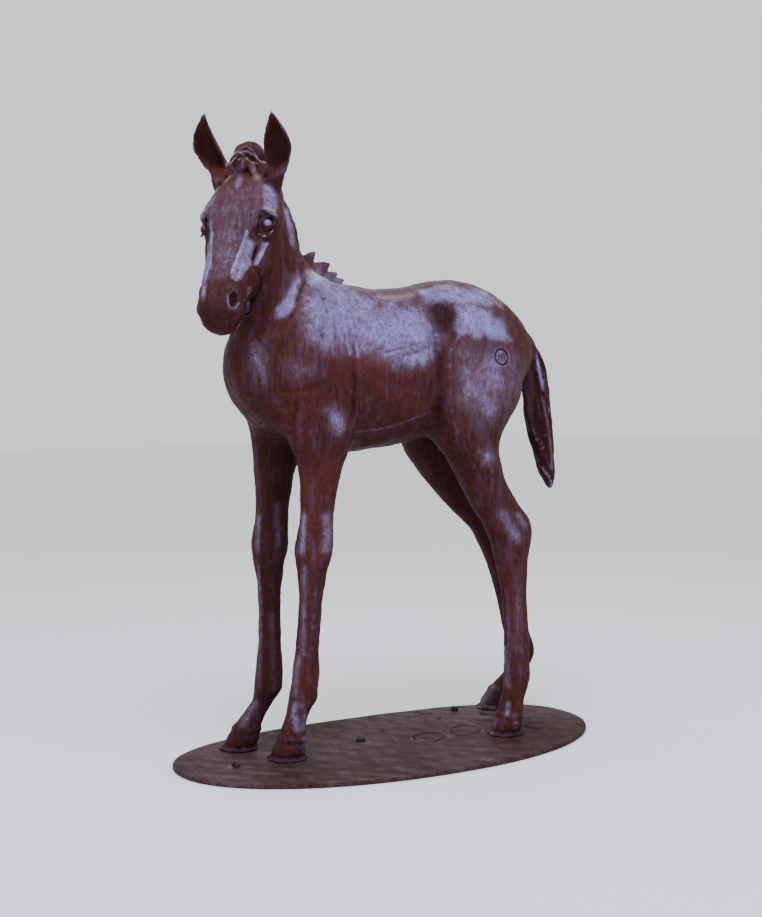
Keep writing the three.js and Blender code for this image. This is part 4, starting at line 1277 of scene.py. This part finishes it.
def iron(name, dark, warm, sheen_tone, rough, gloss, streak):
    """Rusted and waxed cast iron: red-brown with brush streaks, a painted lavender sheen standing in for the
    sky's reflection, dark pits and worn edges lightened by a painted highlight.
    """
    stuff = bpy.data.materials.new(name)
    stuff.use_nodes = True
    tree = stuff.node_tree
    shader = tree.nodes["Principled BSDF"]
    where = node(tree, "TexCoord").outputs["Object"]
    upright = node(tree, "Mapping", {"Vector": where, "Scale": (1.0, 1.0, 0.16)}).outputs["Vector"]
    streaks = noise(tree, upright, 190.0, 4.0, 0.65)
    wide_streaks = noise(tree, upright, 55.0, 4.0, 0.6)
    clouds = noise(tree, where, 7.0, 5.0, 0.6)
    grain = noise(tree, where, 230.0, 3.0, 0.7)
    blots = noise(tree, where, 78.0, 6.0, 0.74)
    mottle = noise(tree, where, 24.0, 5.0, 0.66)

    def given(layer):
        return node(tree, "Attribute", attribute_name=layer).outputs["Fac"]

    tone = blended(tree, stretched(tree, streaks, 0.30, 0.72, 0.14, 0.86), dark, warm)
    redder = tuple(c * k for c, k in zip(warm, (1.2, 0.92, 0.85)))
    tone = blended(tree, stretched(tree, clouds, 0.45, 0.7, 0.0, 0.55), tone, redder)
    cool = tuple(0.45 * c + 0.55 * b for c, b in zip(warm, sheen_tone))
    wide = stretched(tree, wide_streaks, 0.44, 0.76, 0.0, 0.13 * streak)
    tone = blended(tree, wide, tone, cool)
    broken = sums(tree, "MULTIPLY", stretched(tree, blots, 0.38, 0.62, 0.66, 1.0),
                  stretched(tree, streaks, 0.32, 0.62, 0.74, 1.0))
    broken = sums(tree, "MULTIPLY", broken, stretched(tree, mottle, 0.34, 0.6, 0.72, 1.0))
    # Painted sheen: the sky's lavender reflection mixed into the colour, a faint mauve first, the full tone
    # where strongest
    painted_sheen = sums(tree, "MULTIPLY", given("painted_sheen"), broken)
    faint_sheen_tone = tuple(0.5 * c + 0.5 * b * k for c, b, k in zip(warm, sheen_tone, (0.92, 0.76, 0.52)))
    tone = blended(tree, stretched(tree, painted_sheen, 0.0, 0.5), tone, faint_sheen_tone)
    tone = blended(tree, stretched(tree, painted_sheen, 0.16, 0.8), tone, sheen_tone)
    glint = sums(tree, "MULTIPLY", given("glint"), stretched(tree, blots, 0.3, 0.6, 0.45, 1.0))
    tone = blended(tree, glint, tone, (0.60, 0.52, 0.50))
    # Edges lightened towards the sheen tone: wear and a painted highlight
    edge = sums(tree, "MULTIPLY", given("edge"), stretched(tree, blots, 0.38, 0.6, 0.1, 0.5))
    tone = blended(tree, edge, tone, sheen_tone)
    tone = blended(tree, given("shade"), tone, tuple(0.8 * c for c in dark))
    stain = sums(tree, "MULTIPLY", given("stain"), stretched(tree, blots, 0.46, 0.58))
    pits = sums(tree, "MULTIPLY", stretched(tree, grain, 0.58, 0.66, 0.0, 0.8),
                stretched(tree, mottle, 0.4, 0.62))
    dots = noise(tree, where, 130.0, 4.0, 0.7)
    specks = sums(tree, "MULTIPLY", stretched(tree, dots, 0.55, 0.66, 0.0, 0.55),
                  stretched(tree, painted_sheen, 0.2, 0.5))
    pits = sums(tree, "MAXIMUM", pits, specks)
    # Stains, pits and hollows darkened
    stains_pits_and_hollows = sums(tree, "MAXIMUM", sums(tree, "MAXIMUM", stain, pits), given("hollow"))
    tone = blended(tree, stains_pits_and_hollows, tone, tuple(0.4 * c for c in dark))
    tree.links.new(tone, shader.inputs["Base Color"])
    tree.links.new(stretched(tree, blots, 0.3, 0.7, rough - 0.06, rough + 0.1), shader.inputs["Roughness"])
    tree.links.new(stretched(tree, painted_sheen, 0.0, 0.9, gloss, gloss + 0.22), shader.inputs["Specular IOR Level"])
    shader.inputs["Metallic"].default_value = 0.0
    height = sums(tree, "ADD", times(tree, streaks, 0.35), times(tree, blots, 0.4))
    height = sums(tree, "SUBTRACT", height, times(tree, pits, 0.3))
    bump = node(tree, "Bump", {"Strength": 0.5, "Distance": 0.0014, "Height": height})
    tree.links.new(bump.outputs["Normal"], shader.inputs["Normal"])
    return stuff


# Irons: dark and warm tone, painted sheen tone, roughness, gloss and how strong the wide streaks are
irons = {
    "foal_iron": ((0.031, 0.01, 0.0085), (0.078, 0.0245, 0.02), (0.262, 0.25, 0.6), 0.45, 0.02, 1.0),
    "plate_iron": ((0.016, 0.006, 0.006), (0.046, 0.019, 0.0185), (0.16, 0.115, 0.17), 0.6, 0.04, 0.5),
    "stud_iron": ((0.012, 0.0055, 0.0055), (0.036, 0.015, 0.015), (0.15, 0.13, 0.24), 0.45, 0.08, 0.5),
}
made = {name: iron(name, *look) for name, look in irons.items()}
foal.data.materials.clear()
for thing, name in ((foal, "foal_iron"), (plate, "plate_iron"), *((thing, "stud_iron") for thing in studs)):
    thing.data.materials.append(made[name])
for thing in (plate, *studs):
    for polygon in thing.data.polygons:
        polygon.use_smooth = True

# Floor and light
bpy.ops.mesh.primitive_plane_add(size=30, location=(0, 0, -0.0005))
floor = bpy.context.active_object
floor.name = "floor"
pale = bpy.data.materials.new("pale_floor")
pale.use_nodes = True
pale.node_tree.nodes["Principled BSDF"].inputs["Base Color"].default_value = (0.9, 0.9, 0.9, 1)
pale.node_tree.nodes["Principled BSDF"].inputs["Roughness"].default_value = 0.9
floor.data.materials.append(pale)

world = bpy.data.worlds.new("studio")
scene.world = world
world.use_nodes = True
world.node_tree.nodes["Background"].inputs["Color"].default_value = (0.93, 0.95, 1.0, 1)
world.node_tree.nodes["Background"].inputs["Strength"].default_value = 1.1


def soft_light(name, place, aim, size, power, tint=(1, 1, 1)):
    data = bpy.data.lights.new(name, "AREA")
    data.shape = "DISK"
    data.size = size
    data.energy = power
    data.color = tint
    lamp = bpy.data.objects.new(name, data)
    lamp.location = place
    lamp.rotation_euler = (Vector(aim) - Vector(place)).to_track_quat("-Z", "Y").to_euler()
    scene.collection.objects.link(lamp)


soft_light("high_light", (-0.8, -1.2, 3.4), (0, 0, 0.7), 2.2, 90, (0.75, 0.8, 1.0))
soft_light("back_light", (1.6, 1.8, 2.6), (0, 0, 0.8), 1.6, 10)

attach(foal, "root")
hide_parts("foal")
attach(plate, "root")
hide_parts("base_plate")
for k, thing in enumerate(studs):
    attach(thing, "root")
    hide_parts(f"plate_stud_{k + 1}")
